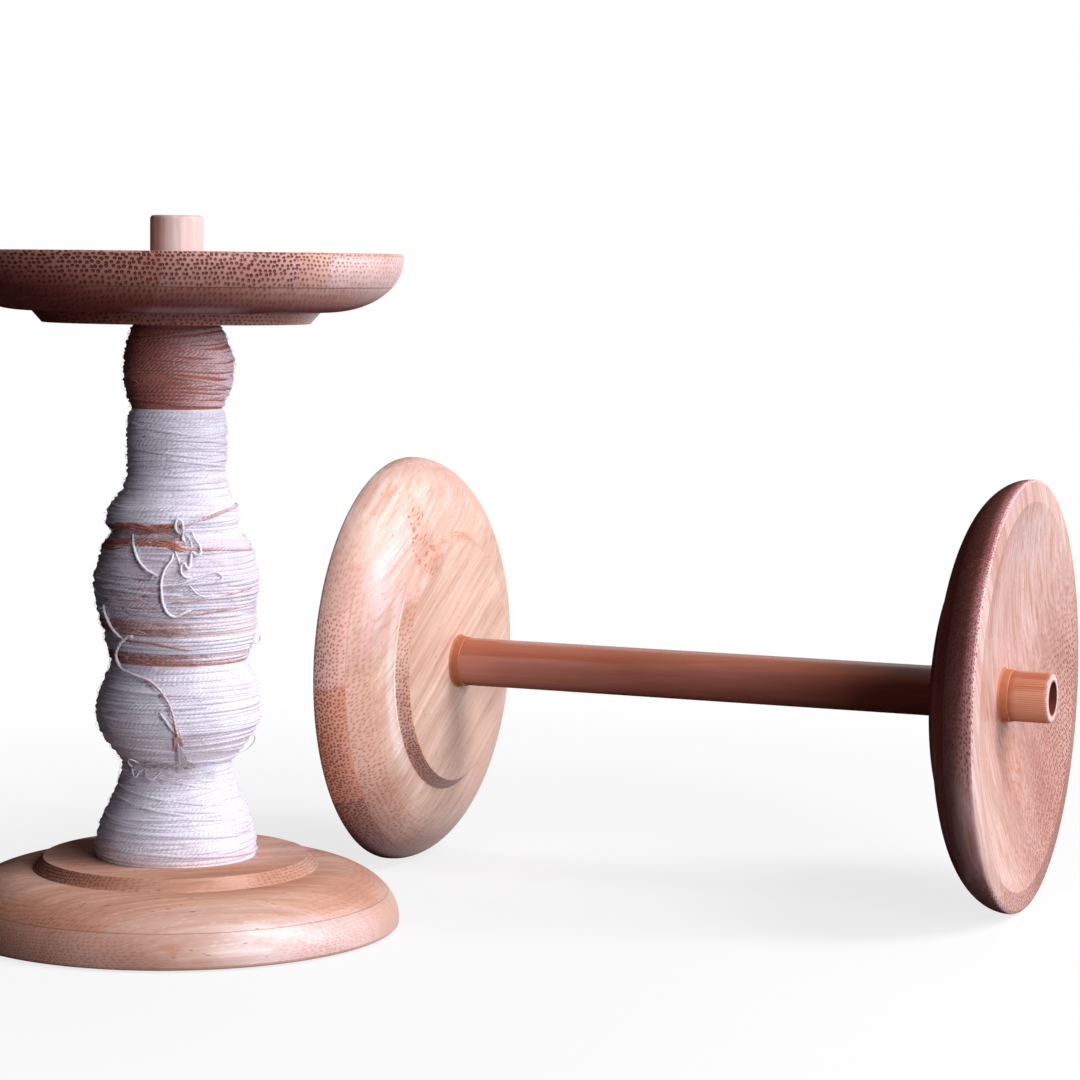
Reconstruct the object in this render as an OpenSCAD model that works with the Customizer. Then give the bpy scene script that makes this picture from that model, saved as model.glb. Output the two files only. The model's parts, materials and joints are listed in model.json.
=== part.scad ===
// Two turned bamboo bobbins for an electric spinning wheel.
// The wound bobbin stands upright on its lower flange, with its tube along +Z.
// The empty bobbin lies on the rims of its flanges, with its tube along +X.
// The origin is on the table, at the centre of the wound bobbin's lower end.

/* [Flanges] */
// Diameter of every flange
flange_d = 100; // [92:1:112]
// Thickness of a flange from the plane of its rim to its shoulder
flange_body_t = 13; // [11.6:0.1:14]
// Thickness of the bamboo ply that carries the rim
rim_ply_t = 7.4; // [6.6:0.1:8.4]
// Height of the low round step on the winding side
step_h = 2.6; // [1.6:0.1:3.6]
// Diameter of the flat face of the step
step_face_d = 59; // [54:1:61]
// Diameter of the foot of the step, where its slanted edge meets the shoulder
step_foot_d = 63.6; // [62:0.1:70]
// Width of the gap between the step's foot and the start of the rounded shoulder
shoulder_flat = 1.4; // [0.8:0.1:3]
// Height of the straight band at the widest part of the rim
rim_band_h = 1.2; // [1.2:0.1:2.4]
// Rounding of the rim's outer corner
rim_round = 0.8; // [0.4:0.1:1.1]
// Width of the flat land round the dished outer face
rim_land = 5; // [3:0.5:9]
// Depth of the dish in the outer face, at its centre
dish_depth = 6.2; // [3:0.1:6.4]

/* [Tubes] */
// Outer diameter of a tube
tube_d = 11.7; // [10.4:0.1:12.6]
// Diameter of the bore that runs on the flyer shaft
bore_d = 7.5; // [6:0.1:8.4]
// Rounding of a tube's outer end corners
tube_round = 0.8; // [0.3:0.1:1.1]

/* [Bobbins] */
// Distance between the step faces of the wound bobbin
wound_span = 118.6; // [112:0.2:140]
// Distance between the step faces of the empty bobbin
empty_span = 128; // [112:1:140]
// How far the wound bobbin's tube stands above its upper rim
wound_proud = 8; // [5:0.5:14]
// How far the empty bobbin's tube stands out past its right rim
empty_proud = 5.5; // [5:0.5:14]
// Place of the empty bobbin's left rim, along X
empty_x = 10.8; // [8:0.2:30]
// Distance of the empty bobbin's tube behind the wound bobbin's tube
empty_y = 95.6; // [92:0.2:120]

/* [Glue] */
// Length of the amber glue film on a tube, beside each flange face
glue_film_l = 2.4; // [1.5:0.1:4]
// Thickness of the glue film
glue_film_t = 0.2; // [0.16:0.01:0.4]
// Size of the glue fillet in the corner between tube and flange
glue_fillet = 0.5; // [0.4:0.1:1.3]

/* [Yarn] */
// Diameter of the yarn
yarn_d = 1.2; // [0.9:0.1:1.4]
// Diameter of the loose ends
loose_d = 0.8; // [0.6:0.1:1]
// Height of the cone of white yarn on the lower flange
foot_h = 21.4; // [19:0.2:25]
// Diameter of that cone on the flange
foot_d = 36.2; // [30:0.2:40]
// Diameter of the waist above the cone
low_waist_d = 24.4; // [21:0.2:26]
// Height of the round white winding above the low waist
hip_h = 22.6; // [20:0.2:24]
// Largest diameter of the hip winding
hip_d = 36.8; // [33:0.2:40]
// Height of the lower rust band
rust_band_h = 2.4; // [2:0.1:4]
// Diameter of the lower rust band
rust_band_d = 30.6; // [28:0.2:32]
// Height of the white band between the coloured bands
mid_band_h = 4.2; // [2.6:0.1:5]
// Diameter of the white band
mid_band_d = 34; // [31:0.2:35]
// Height of the blush band
blush_band_h = 3.6; // [2.6:0.1:4.4]
// Diameter of the blush band
blush_band_d = 35; // [33:0.2:36]
// Height of the round white belly
belly_h = 18.4; // [17:0.2:21]
// Largest diameter of the belly
belly_d = 37; // [36:0.2:40]
// Diameter of the waist between belly and shoulder
top_waist_d = 28; // [26:0.5:29]
// Height of the white shoulder
shoulder_h = 9.4; // [8:0.2:12]
// Largest diameter of the shoulder
shoulder_d = 29.6; // [29:0.2:32]
// Diameter of the neck where it leaves the shoulder
neck_d = 21.8; // [19:0.2:23]
// Largest diameter of the neck
neck_belly_d = 22.4; // [21:0.2:24]
// Diameter of the joint between the white neck and the terracotta cop
cop_joint_d = 20.6; // [18:0.2:21]
// Height of the terracotta cop under the upper flange
cop_h = 18.8; // [16:0.2:21]
// Largest diameter of the cop
cop_d = 24.8; // [23:0.2:28]
// Diameter of the cop where it meets the upper flange
cop_top_d = 18.4; // [16:0.2:20]

/* [Turns] */
// Loops of the outer turns on the foot
foot_loops = 4.5; // [3:0.5:4.5]
// Loops of the outer turns on the hip
hip_loops = 5; // [3:0.5:5]
// Loops of the rust band's outer turns
rust_loops = 1.25; // [1:0.25:1.5]
// Loops of the outer turns on the belly
belly_loops = 4.5; // [3:0.5:4.5]
// Loops of the rust strand over the upper waist
strand_loops = 1.75; // [1:0.25:1.75]
// Loops of the outer turns on the neck
neck_loops = 5; // [3:0.5:5]
// Loops of the cop's outer turns
cop_loops = 5; // [3:0.5:5]

/* [Fit] */
// Clearance between a tube and what is threaded on it
tube_gap = 0.05; // [0.03:0.01:0.1]
// Clearance between a glue film and the tube under it
film_gap = 0.05; // [0.03:0.01:0.1]
// Clearance between outer turns and the winding under them
lay_gap = 0.3; // [0.28:0.01:0.4]
// Clearance between a loose end and the outer turns under it
loose_gap = 0.45; // [0.4:0.01:0.6]

/* [Hidden] */

// Smoothness of turned surfaces
round_fn = 96;
// Segments along a rounded shoulder or a winding's outline
outline_steps = 14;
// Segments along a small corner rounding
corner_steps = 3;
// Rings in a loop of yarn, and sides of its section
loop_rings = 24;
yarn_sides = 6;
// Sides of a loose end's section
loose_sides = 8;

bamboo = [0.83, 0.62, 0.48];
tube_bamboo = [0.74, 0.47, 0.35];
amber = [0.76, 0.45, 0.22];
white_yarn = [0.9, 0.87, 0.88];
blush_yarn = [0.84, 0.66, 0.63];
terracotta_yarn = [0.62, 0.36, 0.3];

flange_r = flange_d / 2;
flange_t = flange_body_t + step_h;
tube_r = tube_d / 2;
hole_r = tube_r + tube_gap;
dish_r = flange_r - rim_land;
// Radius of the sphere that hollows the dish
dish_ball_r = (dish_r * dish_r + dish_depth * dish_depth) / (2 * dish_depth);
// Radius at which the rounded shoulder starts
shoulder_r = step_foot_d / 2 + shoulder_flat;

wound_h = wound_span + 2 * flange_t;
empty_l = empty_span + 2 * flange_t;
step_low_z = flange_t;
step_high_z = flange_t + wound_span;

// Heights of the joints between the windings, from the table up
foot_top = step_low_z + foot_h;
hip_top = foot_top + hip_h;
rust_top = hip_top + rust_band_h;
mid_top = rust_top + mid_band_h;
blush_top = mid_top + blush_band_h;
belly_top = blush_top + belly_h;
shoulder_top = belly_top + shoulder_h;
cop_low = step_high_z - cop_h;

// The rust band grows this much in radius towards the white band above it
band_growth = 0.6;
// Heights between which the rust strand winds over the waist above the belly
strand_low = belly_top - 3 * yarn_d;
strand_high = belly_top + 3.5 * yarn_d;
// Room between that strand and the outer turns below and above it
strand_room = 2 * yarn_d;

// Free space that outer turns leave to a flange face and to a joint between windings
end_room = yarn_d / 2 + lay_gap + 0.4;
joint_room = yarn_d / 2 + 1.2;

// Shoulder radius at a distance s from the rim plane: a straight band, then a quarter of an ellipse
function flange_edge_r(s) = let (k = (s - rim_band_h) / (flange_body_t - rim_band_h))
    k <= 0 ? flange_r : shoulder_r + (flange_r - shoulder_r) * sqrt(max(0, 1 - k * k));

// Points of the rounded edge between two distances from the rim plane
function edge_points(s0, s1, n) = [for (i = [0:n]) let (a = 90 * i / n, s = s0 + (s1 - s0) * sin(a))
    [flange_edge_r(s), s]];

// Points of a quarter round with radius q, from the angle a0, about the centre c
function corner_points(c, q, a0) = [for (i = [0:corner_steps])
    let (a = a0 + 90 * i / corner_steps) c + q * [cos(a), sin(a)]];

// Depth of the dish at a distance r from the axis
function dish_s(r) = sqrt(dish_ball_r * dish_ball_r - r * r) - (dish_ball_r - dish_depth);

// Points of the dish, from the hole out to the land
dish_points = [for (i = [0:outline_steps]) let (r = hole_r + (dish_r - hole_r) * i / outline_steps)
    [r, i == outline_steps ? 0 : dish_s(r)]];

// The ply with the rim. Its rim plane is z = 0, and the dish opens downwards.
module rim_ply() {
    color(bamboo) rotate_extrude($fn = round_fn) polygon(concat(
        dish_points,
        corner_points([flange_r - rim_round, rim_round], rim_round, -90),
        edge_points(rim_band_h, rim_ply_t, outline_steps),
        [[hole_r, rim_ply_t]]));
}

// The ply with the step, from the glue line to the step face
module step_ply() {
    color(bamboo) rotate_extrude($fn = round_fn) polygon(concat(
        [[hole_r, rim_ply_t]],
        edge_points(rim_ply_t, flange_body_t, outline_steps),
        [[step_foot_d / 2, flange_body_t], [step_face_d / 2, flange_t], [hole_r, flange_t]]));
}

// A tube of the given length that starts at z = 0
module tube(length) {
    color(tube_bamboo) rotate_extrude($fn = round_fn) polygon(concat(
        [[bore_d / 2, length], [bore_d / 2, 0]],
        corner_points([tube_r - tube_round, tube_round], tube_round, -90),
        corner_points([tube_r - tube_round, length - tube_round], tube_round, 0)));
}

// Glue on a tube beside a face at z = 0: a fillet in the corner, then a thin film
module glue_ring() {
    film_r = tube_r + film_gap;
    color(amber) rotate_extrude($fn = round_fn) polygon([
        [film_r, 0], [film_r + glue_film_t + glue_fillet, 0],
        [film_r + glue_film_t + glue_fillet * 0.35, glue_fillet * 0.35],
        [film_r + glue_film_t, glue_fillet], [film_r + glue_film_t, glue_film_l - glue_film_t],
        [film_r, glue_film_l]]);
}

// The glue of one bobbin with the step faces a span apart, and its left or lower rim at z = 0
module bobbin_glue(span) {
    outer_face = dish_s(tube_r + glue_film_t + glue_fillet + film_gap);
    length = span + 2 * flange_t;
    translate([0, 0, outer_face]) mirror([0, 0, 1]) glue_ring();
    translate([0, 0, flange_t]) glue_ring();
    translate([0, 0, length - flange_t]) mirror([0, 0, 1]) glue_ring();
    translate([0, 0, length - outer_face]) glue_ring();
}

// Radius of a round winding at the share t of its height: r0 to belly rb at the share tb, then to r1
function bulge(t, r0, rb, r1, tb) = t < tb
    ? r0 + (rb - r0) * sin(90 * t / tb)
    : r1 + (rb - r1) * cos(90 * (t - tb) / (1 - tb));

// Radius of the cone that stands on the lower flange
function foot_r(t) = low_waist_d / 2
    + (foot_d - low_waist_d) / 2 * (1 + cos(180 * pow(t, 1.2))) / 2;

// The windings above the cone, from the table up: heights of the bottom and the top, radii at the
// bottom, at the thickest place and at the top, and the share of the height where it is thickest
mounds = [
    [foot_top, hip_top, low_waist_d / 2, hip_d / 2, rust_band_d / 2, 0.48],
    [hip_top, rust_top, rust_band_d / 2, rust_band_d / 2 + band_growth, rust_band_d / 2 + band_growth, 0.9],
    [rust_top, mid_top, rust_band_d / 2 + band_growth, mid_band_d / 2, mid_band_d / 2, 0.9],
    [mid_top, blush_top, mid_band_d / 2, blush_band_d / 2, blush_band_d / 2, 0.6],
    [blush_top, belly_top, blush_band_d / 2, belly_d / 2, top_waist_d / 2, 0.4],
    [belly_top, shoulder_top, top_waist_d / 2, shoulder_d / 2, neck_d / 2, 0.25],
    [shoulder_top, cop_low, neck_d / 2, neck_belly_d / 2, cop_joint_d / 2, 0.7],
    [cop_low, step_high_z + yarn_d, cop_joint_d / 2, cop_d / 2, cop_top_d / 2, 0.43]];

// Radius of the whole yarn package at the height z
function yarn_r(z) = z < foot_top ? foot_r(max(0, z - step_low_z) / foot_h)
    : let (m = [for (m = mounds) if (z < m[1]) m][0])
        bulge((z - m[0]) / (m[1] - m[0]), m[2], m[3], m[4], m[5]);

// Radius of the windings under the outer turns
function core_r(z) = yarn_r(z) - yarn_d - lay_gap;

// Slope of the package's outline, and its outward normal as [radial, axial]
function yarn_slope(z) = (yarn_r(z + 0.25) - yarn_r(z - 0.25)) / 0.5;
function yarn_normal(z) = let (m = yarn_slope(z)) [1, -m] / sqrt(1 + m * m);

// A round winding between two heights. Room is left inside for the glue at a flange.
module winding(z0, z1, glue_low = false, glue_high = false) {
    glue_r = tube_r + film_gap + glue_film_t + glue_fillet + lay_gap;
    glue_z = glue_film_l + lay_gap;
    low_corner = glue_low ? [[hole_r, z0 + glue_z + lay_gap], [glue_r, z0 + glue_fillet], [glue_r, z0]]
        : [[hole_r, z0]];
    high_corner = glue_high ? [[glue_r, z1], [glue_r, z1 - glue_fillet], [hole_r, z1 - glue_z - lay_gap]]
        : [[hole_r, z1]];
    rotate_extrude($fn = round_fn) polygon(concat(low_corner,
        [for (i = [0:outline_steps]) let (z = z0 + (z1 - z0) * i / outline_steps)
            [core_r(i == outline_steps ? z1 - 0.001 : z), z]],
        high_corner));
}

// The centre of an outer turn that lies on the windings at the height z and the angle a
function turn_point(a, z) = let (n = yarn_normal(z), up = lay_gap + yarn_d / 2, r = core_r(z) + n[0] * up)
    [r * cos(a), r * sin(a), z + n[1] * up];

// A steady helix of outer turns between two heights, starting at the angle a0
function turn_points(z0, z1, loops, a0) = let (n = round(loops * loop_rings))
    [for (i = [0:n]) turn_point(a0 + 360 * i / loop_rings, z0 + (z1 - z0) * i / n)];

// Least free gap between the loops of a route, measured between its points
function least_gap(p, d) = min([for (i = [0:len(p) - 1], j = [i + loop_rings / 2:len(p) - 1])
    if (j < len(p)) norm(p[i] - p[j]) - d]);

function unit(v) = v / norm(v);
function along(p, i) = unit(p[min(i + 1, len(p) - 1)] - p[max(i - 1, 0)]);
function outward(v, t) = let (u = [v[0], v[1], 0], w = u - (u * t) * t) unit(w);

// One unbroken tube of yarn through the points p, with triangular faces
module yarn_tube(p, d, sides) {
    n = len(p);
    ring_points = [for (i = [0:n - 1]) let (t = along(p, i), u = outward(p[i], t), w = cross(t, u))
        for (k = [0:sides - 1]) let (a = 360 * k / sides) p[i] + d / 2 * (cos(a) * u + sin(a) * w)];
    wall = [for (i = [0:n - 2], k = [0:sides - 1])
        let (a = i * sides + k, b = i * sides + (k + 1) % sides)
        each [[a, a + sides, b], [b, a + sides, b + sides]]];
    start_cap = [for (k = [1:sides - 2]) [0, k, k + 1]];
    last = (n - 1) * sides;
    end_cap = [for (k = [1:sides - 2]) [last, last + k + 1, last + k]];
    polyhedron(points = ring_points, faces = concat(wall, start_cap, end_cap));
}

// Outer turns that lie on a winding, with their least gap printed
module turns(name, z0, z1, loops, a0) {
    p = turn_points(z0, z1, loops, a0);
    if (loops > 1) echo(str(name, " least gap between loops, mm"), least_gap(p, yarn_d));
    yarn_tube(p, yarn_d, yarn_sides);
}

// Routes of the loose ends, chosen by hand. A point is an angle about the tube, a height above the
// table and how far the yarn stands off the package there.
tail_route = [[-96, 66.5, 0], [-101, 66, 0.3], [-106, 65, 0.5], [-111, 63.5, 0.6], [-114, 61.5, 0.6],
    [-113, 59.5, 0.5], [-108, 58, 0.4], [-101, 57.5, 0.3], [-94, 57, 0.2], [-86, 56.5, 0.2],
    [-79, 55.5, 0.2], [-73, 54, 0.2], [-68, 52, 0.2], [-65, 50, 0.2], [-63, 47.5, 0.2], [-61, 45, 0.2]];
loop_routes = [
    [[-102, 89.5, 0], [-100, 87, 0.6], [-94, 84.5, 0.8], [-86, 82.5, 0.8], [-79, 80.5, 0.5], [-73, 79.5, 0]],
    [[-64, 83.5, 0], [-68.5, 81, 0.5], [-71, 78, 0.7], [-71.5, 75.5, 0.7], [-70, 73, 0.6], [-66, 71, 0.5],
        [-60, 71, 0.4], [-54, 72, 0.2], [-48, 72, 0]],
    [[-45, 89.5, 0], [-42, 87, 0.5], [-44, 84.5, 0.8], [-51, 82.5, 0.9], [-57, 81, 0.9], [-58.5, 78.5, 0.8],
        [-54, 77, 0.5], [-47, 77.5, 0.2], [-41, 78, 0]],
    [[-60, 87, 0], [-63, 89, 0.4], [-64, 92, 0.8], [-59, 94, 1], [-54, 92.5, 1], [-54, 89.5, 0.8],
        [-57.5, 87, 1.2]],
    [[-118, 73.5, 0], [-117.5, 71.5, 0.3], [-117, 69.5, 0.3], [-115, 67.5, 0]],
    [[-77, 50, 0], [-73, 48.5, 0.4], [-69, 47, 0.4], [-66, 44.5, 0]]];

// The points that a loose end runs through
function route_points(route) = [for (q = route)
    let (n = yarn_normal(q[1]), up = loose_gap + loose_d / 2 + q[2], r = yarn_r(q[1]) + n[0] * up)
    [r * cos(q[0]), r * sin(q[0]), q[1] + n[1] * up]];

module wound_tube() { tube(wound_h + wound_proud); }
module wound_lower_rim_ply() { rim_ply(); }
module wound_lower_step_ply() { step_ply(); }
module wound_upper_step_ply() { translate([0, 0, wound_h]) mirror([0, 0, 1]) step_ply(); }
module wound_upper_rim_ply() { translate([0, 0, wound_h]) mirror([0, 0, 1]) rim_ply(); }
module wound_glue() { bobbin_glue(wound_span); }

module white_foot() { color(white_yarn) winding(step_low_z, foot_top, glue_low = true); }
module white_hip() { color(white_yarn) winding(foot_top, hip_top); }
module rust_band() { color(terracotta_yarn) winding(hip_top, rust_top); }
module white_mid_band() { color(white_yarn) winding(rust_top, mid_top); }
module blush_band() { color(blush_yarn) winding(mid_top, blush_top); }
module white_belly() { color(white_yarn) winding(blush_top, belly_top); }
module white_shoulder() { color(white_yarn) winding(belly_top, shoulder_top); }
module white_neck() { color(white_yarn) winding(shoulder_top, cop_low); }
module terracotta_cop() { color(terracotta_yarn) winding(cop_low, step_high_z, glue_high = true); }

module foot_turns() {
    color(white_yarn) turns("foot", step_low_z + end_room, foot_top - joint_room, foot_loops, 200);
}
module hip_turns() {
    color(white_yarn) turns("hip", foot_top + joint_room, hip_top - joint_room, hip_loops, 120);
}
module rust_band_turns() {
    color(terracotta_yarn) turns("rust band", hip_top, rust_top, rust_loops, 90);
}
module belly_turns() {
    color(white_yarn) turns("belly", blush_top, strand_low - strand_room, belly_loops, 30);
}
module rust_strand() {
    color(terracotta_yarn) turns("rust strand", strand_low, strand_high, strand_loops, 60);
}
module neck_turns() {
    color(white_yarn) turns("neck", strand_high + strand_room, cop_low - joint_room, neck_loops, 300);
}
module cop_turns() {
    color(terracotta_yarn) turns("cop", cop_low + joint_room, step_high_z - end_room - yarn_d, cop_loops, 40);
}
module yarn_tail() { color(blush_yarn) yarn_tube(route_points(tail_route), loose_d, loose_sides); }
module loose_loops() {
    color(white_yarn) for (route = loop_routes)
        yarn_tube(route_points(route), loose_d, loose_sides);
}

// Lays a bobbin that stands at the origin on the rims of its flanges, with its tube along X
module lay_down() { translate([empty_x, empty_y, flange_r]) rotate([0, 90, 0]) children(); }

module empty_tube() { lay_down() tube(empty_l + empty_proud); }
module empty_left_rim_ply() { lay_down() rim_ply(); }
module empty_left_step_ply() { lay_down() step_ply(); }
module empty_right_step_ply() { lay_down() translate([0, 0, empty_l]) mirror([0, 0, 1]) step_ply(); }
module empty_right_rim_ply() { lay_down() translate([0, 0, empty_l]) mirror([0, 0, 1]) rim_ply(); }
module empty_glue() { lay_down() bobbin_glue(empty_span); }

wound_tube();
wound_lower_rim_ply();
wound_lower_step_ply();
wound_upper_step_ply();
wound_upper_rim_ply();
wound_glue();
white_foot();
white_hip();
rust_band();
white_mid_band();
blush_band();
white_belly();
white_shoulder();
white_neck();
terracotta_cop();
foot_turns();
hip_turns();
rust_band_turns();
belly_turns();
rust_strand();
neck_turns();
cop_turns();
yarn_tail();
loose_loops();
empty_tube();
empty_left_rim_ply();
empty_left_step_ply();
empty_right_step_ply();
empty_right_rim_ply();
empty_glue();
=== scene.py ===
# %% [markdown]
# # A pair of bamboo bobbins for a spinning wheel
#
# One bobbin stands on its flange and carries white, blush and terracotta cotton. The other is
# empty and lies on its rims. The flanges and tubes come from the CAD model, which is loaded as a
# fixed frame, and get their bamboo here. The yarn is soft, so every winding is built anew as
# real strands round the place where the CAD model holds it.

# %% Load the frame
import json
import math

import bpy
import numpy as np
from mathutils import Matrix, Vector

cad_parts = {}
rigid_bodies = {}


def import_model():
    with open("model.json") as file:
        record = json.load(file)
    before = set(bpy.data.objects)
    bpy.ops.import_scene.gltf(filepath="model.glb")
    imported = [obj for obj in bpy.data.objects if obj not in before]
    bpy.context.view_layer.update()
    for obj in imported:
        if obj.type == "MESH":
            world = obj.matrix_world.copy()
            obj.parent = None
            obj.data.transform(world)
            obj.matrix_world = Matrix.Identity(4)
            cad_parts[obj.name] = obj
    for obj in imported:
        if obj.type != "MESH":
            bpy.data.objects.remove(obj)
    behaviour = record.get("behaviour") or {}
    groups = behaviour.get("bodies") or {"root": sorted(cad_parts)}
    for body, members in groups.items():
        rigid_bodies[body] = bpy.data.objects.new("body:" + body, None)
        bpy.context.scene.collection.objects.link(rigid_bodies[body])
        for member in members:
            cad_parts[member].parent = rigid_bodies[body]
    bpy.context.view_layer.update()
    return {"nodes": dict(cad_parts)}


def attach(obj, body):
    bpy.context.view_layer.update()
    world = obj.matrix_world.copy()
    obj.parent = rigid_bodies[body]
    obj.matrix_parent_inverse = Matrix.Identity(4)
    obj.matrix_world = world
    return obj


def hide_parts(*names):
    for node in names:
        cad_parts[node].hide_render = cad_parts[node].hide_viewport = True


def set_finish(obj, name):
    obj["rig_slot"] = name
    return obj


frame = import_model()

bpy.ops.object.select_all(action="DESELECT")
MM = 0.001

# %% [markdown]
# ## The camera
#
# The view is a long lens, a little above the bobbins and turned to the left. A camera is placed
# by its matrix: its columns are the directions of its right side, its top and its back, and the
# last one is where it stands.

# %% Place the camera
CAMERA_PLACE = Vector((0.34359, -0.61572, 0.14726))
CAMERA_TURN, CAMERA_DIP, CAMERA_ROLL = -0.39431, 0.08588, 0.01095
CAMERA_LENS = 105.594

forward = Vector((
    math.sin(CAMERA_TURN) * math.cos(CAMERA_DIP),
    math.cos(CAMERA_TURN) * math.cos(CAMERA_DIP),
    -math.sin(CAMERA_DIP),
))
level_right = Vector((math.cos(CAMERA_TURN), -math.sin(CAMERA_TURN), 0))
level_up = level_right.cross(forward)
right = math.cos(CAMERA_ROLL) * level_right + math.sin(CAMERA_ROLL) * level_up
up = math.cos(CAMERA_ROLL) * level_up - math.sin(CAMERA_ROLL) * level_right
camera = bpy.data.objects.new("camera", bpy.data.cameras.new("camera"))
bpy.context.scene.collection.objects.link(camera)
camera.matrix_world = Matrix.Translation(CAMERA_PLACE) @ Matrix((right, up, -forward)).transposed().to_4x4()
camera.data.lens = CAMERA_LENS
camera.data.clip_start = 0.01
bpy.context.scene.camera = camera
print("camera at", [round(v, 3) for v in CAMERA_PLACE], "lens", CAMERA_LENS)

# %% [markdown]
# ## The outline of the winding
#
# Everything soft follows one outline, the radius of the wound yarn at each height. It is a foot
# that spreads onto the lower flange, and above it one mound for each colour. All of these sizes
# are in millimetres and say the same as the CAD source. The winding is dressed a little fuller
# or slimmer in places, and its middle strays a little from the tube's axis.

# %% Describe the winding's outline
STEP_TOP, FOOT_TOP = 15.6, 37.0
HIP_TOP, RUST_TOP, MIDDLE_TOP, BLUSH_TOP = 59.6, 62.0, 66.2, 69.8
BELLY_TOP, SHOULDER_TOP, NECK_TOP, COP_TOP = 88.2, 97.6, 115.4, 135.4
WINDING_TOP = 134.2  # the flange cuts the cop off here
FOOT_CURVE = 1.2
FOOT_RADII = (18.1, 12.2)
MOUNDS = [  # from, to, radius there, widest, radius at the end, where it is widest
    (FOOT_TOP, HIP_TOP, 12.2, 18.4, 15.3, 0.48),
    (HIP_TOP, RUST_TOP, 15.3, 15.9, 15.9, 0.9),
    (RUST_TOP, MIDDLE_TOP, 15.9, 17.0, 17.0, 0.9),
    (MIDDLE_TOP, BLUSH_TOP, 17.0, 17.5, 17.5, 0.6),
    (BLUSH_TOP, BELLY_TOP, 17.5, 18.5, 14.0, 0.4),
    (BELLY_TOP, SHOULDER_TOP, 14.0, 14.8, 10.9, 0.25),
    (SHOULDER_TOP, NECK_TOP, 10.9, 11.2, 10.3, 0.7),
    (NECK_TOP, COP_TOP, 10.3, 12.4, 9.2, 0.43),
]
TUBE_RADIUS = 5.85
TUBE_GAP = 0.05
FULLER = [  # height, and how much fuller the winding is dressed there
    (55, 0), (58, -0.4), (60, 0), (82, 0), (85, 0.5), (87.4, 0.3), (88.3, 0), (93, 0.2), (96.4, 0.5), (98.2, 0.9),
    (100.8, 0),
]
OFF_AXIS = [  # height, and how far to the right of the axis the winding's middle is there
    (16, 0), (40, 0.3), (50, 0.5), (55, 0.8), (60, 0.6), (66, 1.0), (69.5, 0.3), (72, 0), (87, 0.2), (89.6, -0.8),
    (93, -0.8), (97, -0.3), (101, 0), (118, 0.1), (126, 0.6), (130, 0.2), (134, 0),
]
RIGHTWARDS = math.radians(29)  # the winding's right as the camera sees it, turned from X towards Y


def winding_radius(z):
    """The radius of the wound yarn at height z, in millimetres."""
    z = np.asarray(z, float)
    t = np.clip((z - STEP_TOP) / (FOOT_TOP - STEP_TOP), 0, 1)
    wide, narrow = FOOT_RADII
    radius = narrow + (wide - narrow) * (1 + np.cos(math.pi * t**FOOT_CURVE)) / 2
    for low, high, first, widest, last, peak in MOUNDS:
        t = np.clip((z - low) / (high - low), 0, 1)
        rising = first + (widest - first) * np.sin(math.pi / 2 * t / peak)
        falling = last + (widest - last) * np.cos(math.pi / 2 * np.clip((t - peak) / (1 - peak), 0, 1))
        radius = np.where(z > low, np.where(t < peak, rising, falling), radius)
    return radius


def wound_radius(z):
    """The winding's radius as it is dressed, in millimetres."""
    return winding_radius(z) + np.interp(z, *zip(*FULLER))


def off_axis(z):
    """How far the winding's middle is off the tube's axis at height z, in millimetres along X and Y."""
    shift = np.interp(z, *zip(*OFF_AXIS))
    return shift * math.cos(RIGHTWARDS), shift * math.sin(RIGHTWARDS)


def on_winding(angle, z, lift):
    """Points at these angles in degrees and heights, lifted off the winding along its normal."""
    angle, z, lift = (np.asarray(v, float) for v in (angle, z, lift))
    slope = (wound_radius(z + 0.25) - wound_radius(z - 0.25)) / 0.5
    out = 1 / np.sqrt(1 + slope**2)
    radius = wound_radius(z) + out * lift
    turn = np.radians(angle)
    x, y = off_axis(z)
    return np.stack([x + radius * np.cos(turn), y + radius * np.sin(turn), z - slope * out * lift], -1)


print("winding:", [f"{z:.0f} mm high r {float(winding_radius(z)):.1f}" for z in (16, 48, 77, 92, 106, 124)])

# %% [markdown]
# ## Strands of yarn
#
# A strand is a curve with a round bevel, which Blender can turn into a mesh tube. Its twist is
# too fine for geometry, so each vertex keeps how far along the strand it is and where it sits
# round it, and the yarn's material draws the plies from that. A third value says how much dye
# the yarn took there, because the same strand runs from white to terracotta in places. On the
# cop and the coloured bands this value also carries painted light: it is lower on the lit side.

# %% Build strands
YARN = 0.92


def smoothed(route, steps):
    """A curve through the route's points, with that many steps between two of them."""
    route = np.asarray(route, float)
    padded = np.concatenate([[2 * route[0] - route[1]], route, [2 * route[-1] - route[-2]]])
    pieces = []
    for a, b, c, d in zip(padded, padded[1:], padded[2:], padded[3:]):
        t = np.linspace(0, 1, steps, endpoint=False)[:, None]
        pieces.append(0.5 * (2 * b + (c - a) * t + (2 * a - 5 * b + 4 * c - d) * t**2 + (3 * b - a - 3 * c + d) * t**3))
    return np.concatenate([*pieces, route[-1:]])


def drift(rng, along, step):
    """Smooth noise from -1 to 1 along a strand, with a new value every step."""
    values = rng.uniform(-1, 1, int(along.max() / step) + 3)
    place = (along - along.min()) / step
    i = place.astype(int)
    t = (1 - np.cos(math.pi * (place - i))) / 2
    return values[i] * (1 - t) + values[i + 1] * t


def strand(points, thick=1.0, dye=0.0):
    """One strand: its points in millimetres, its thickness as a share and its dye."""
    points = np.asarray(points, float)
    return {"points": points, "thick": np.broadcast_to(thick, len(points)), "dye": np.broadcast_to(dye, len(points))}


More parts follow.
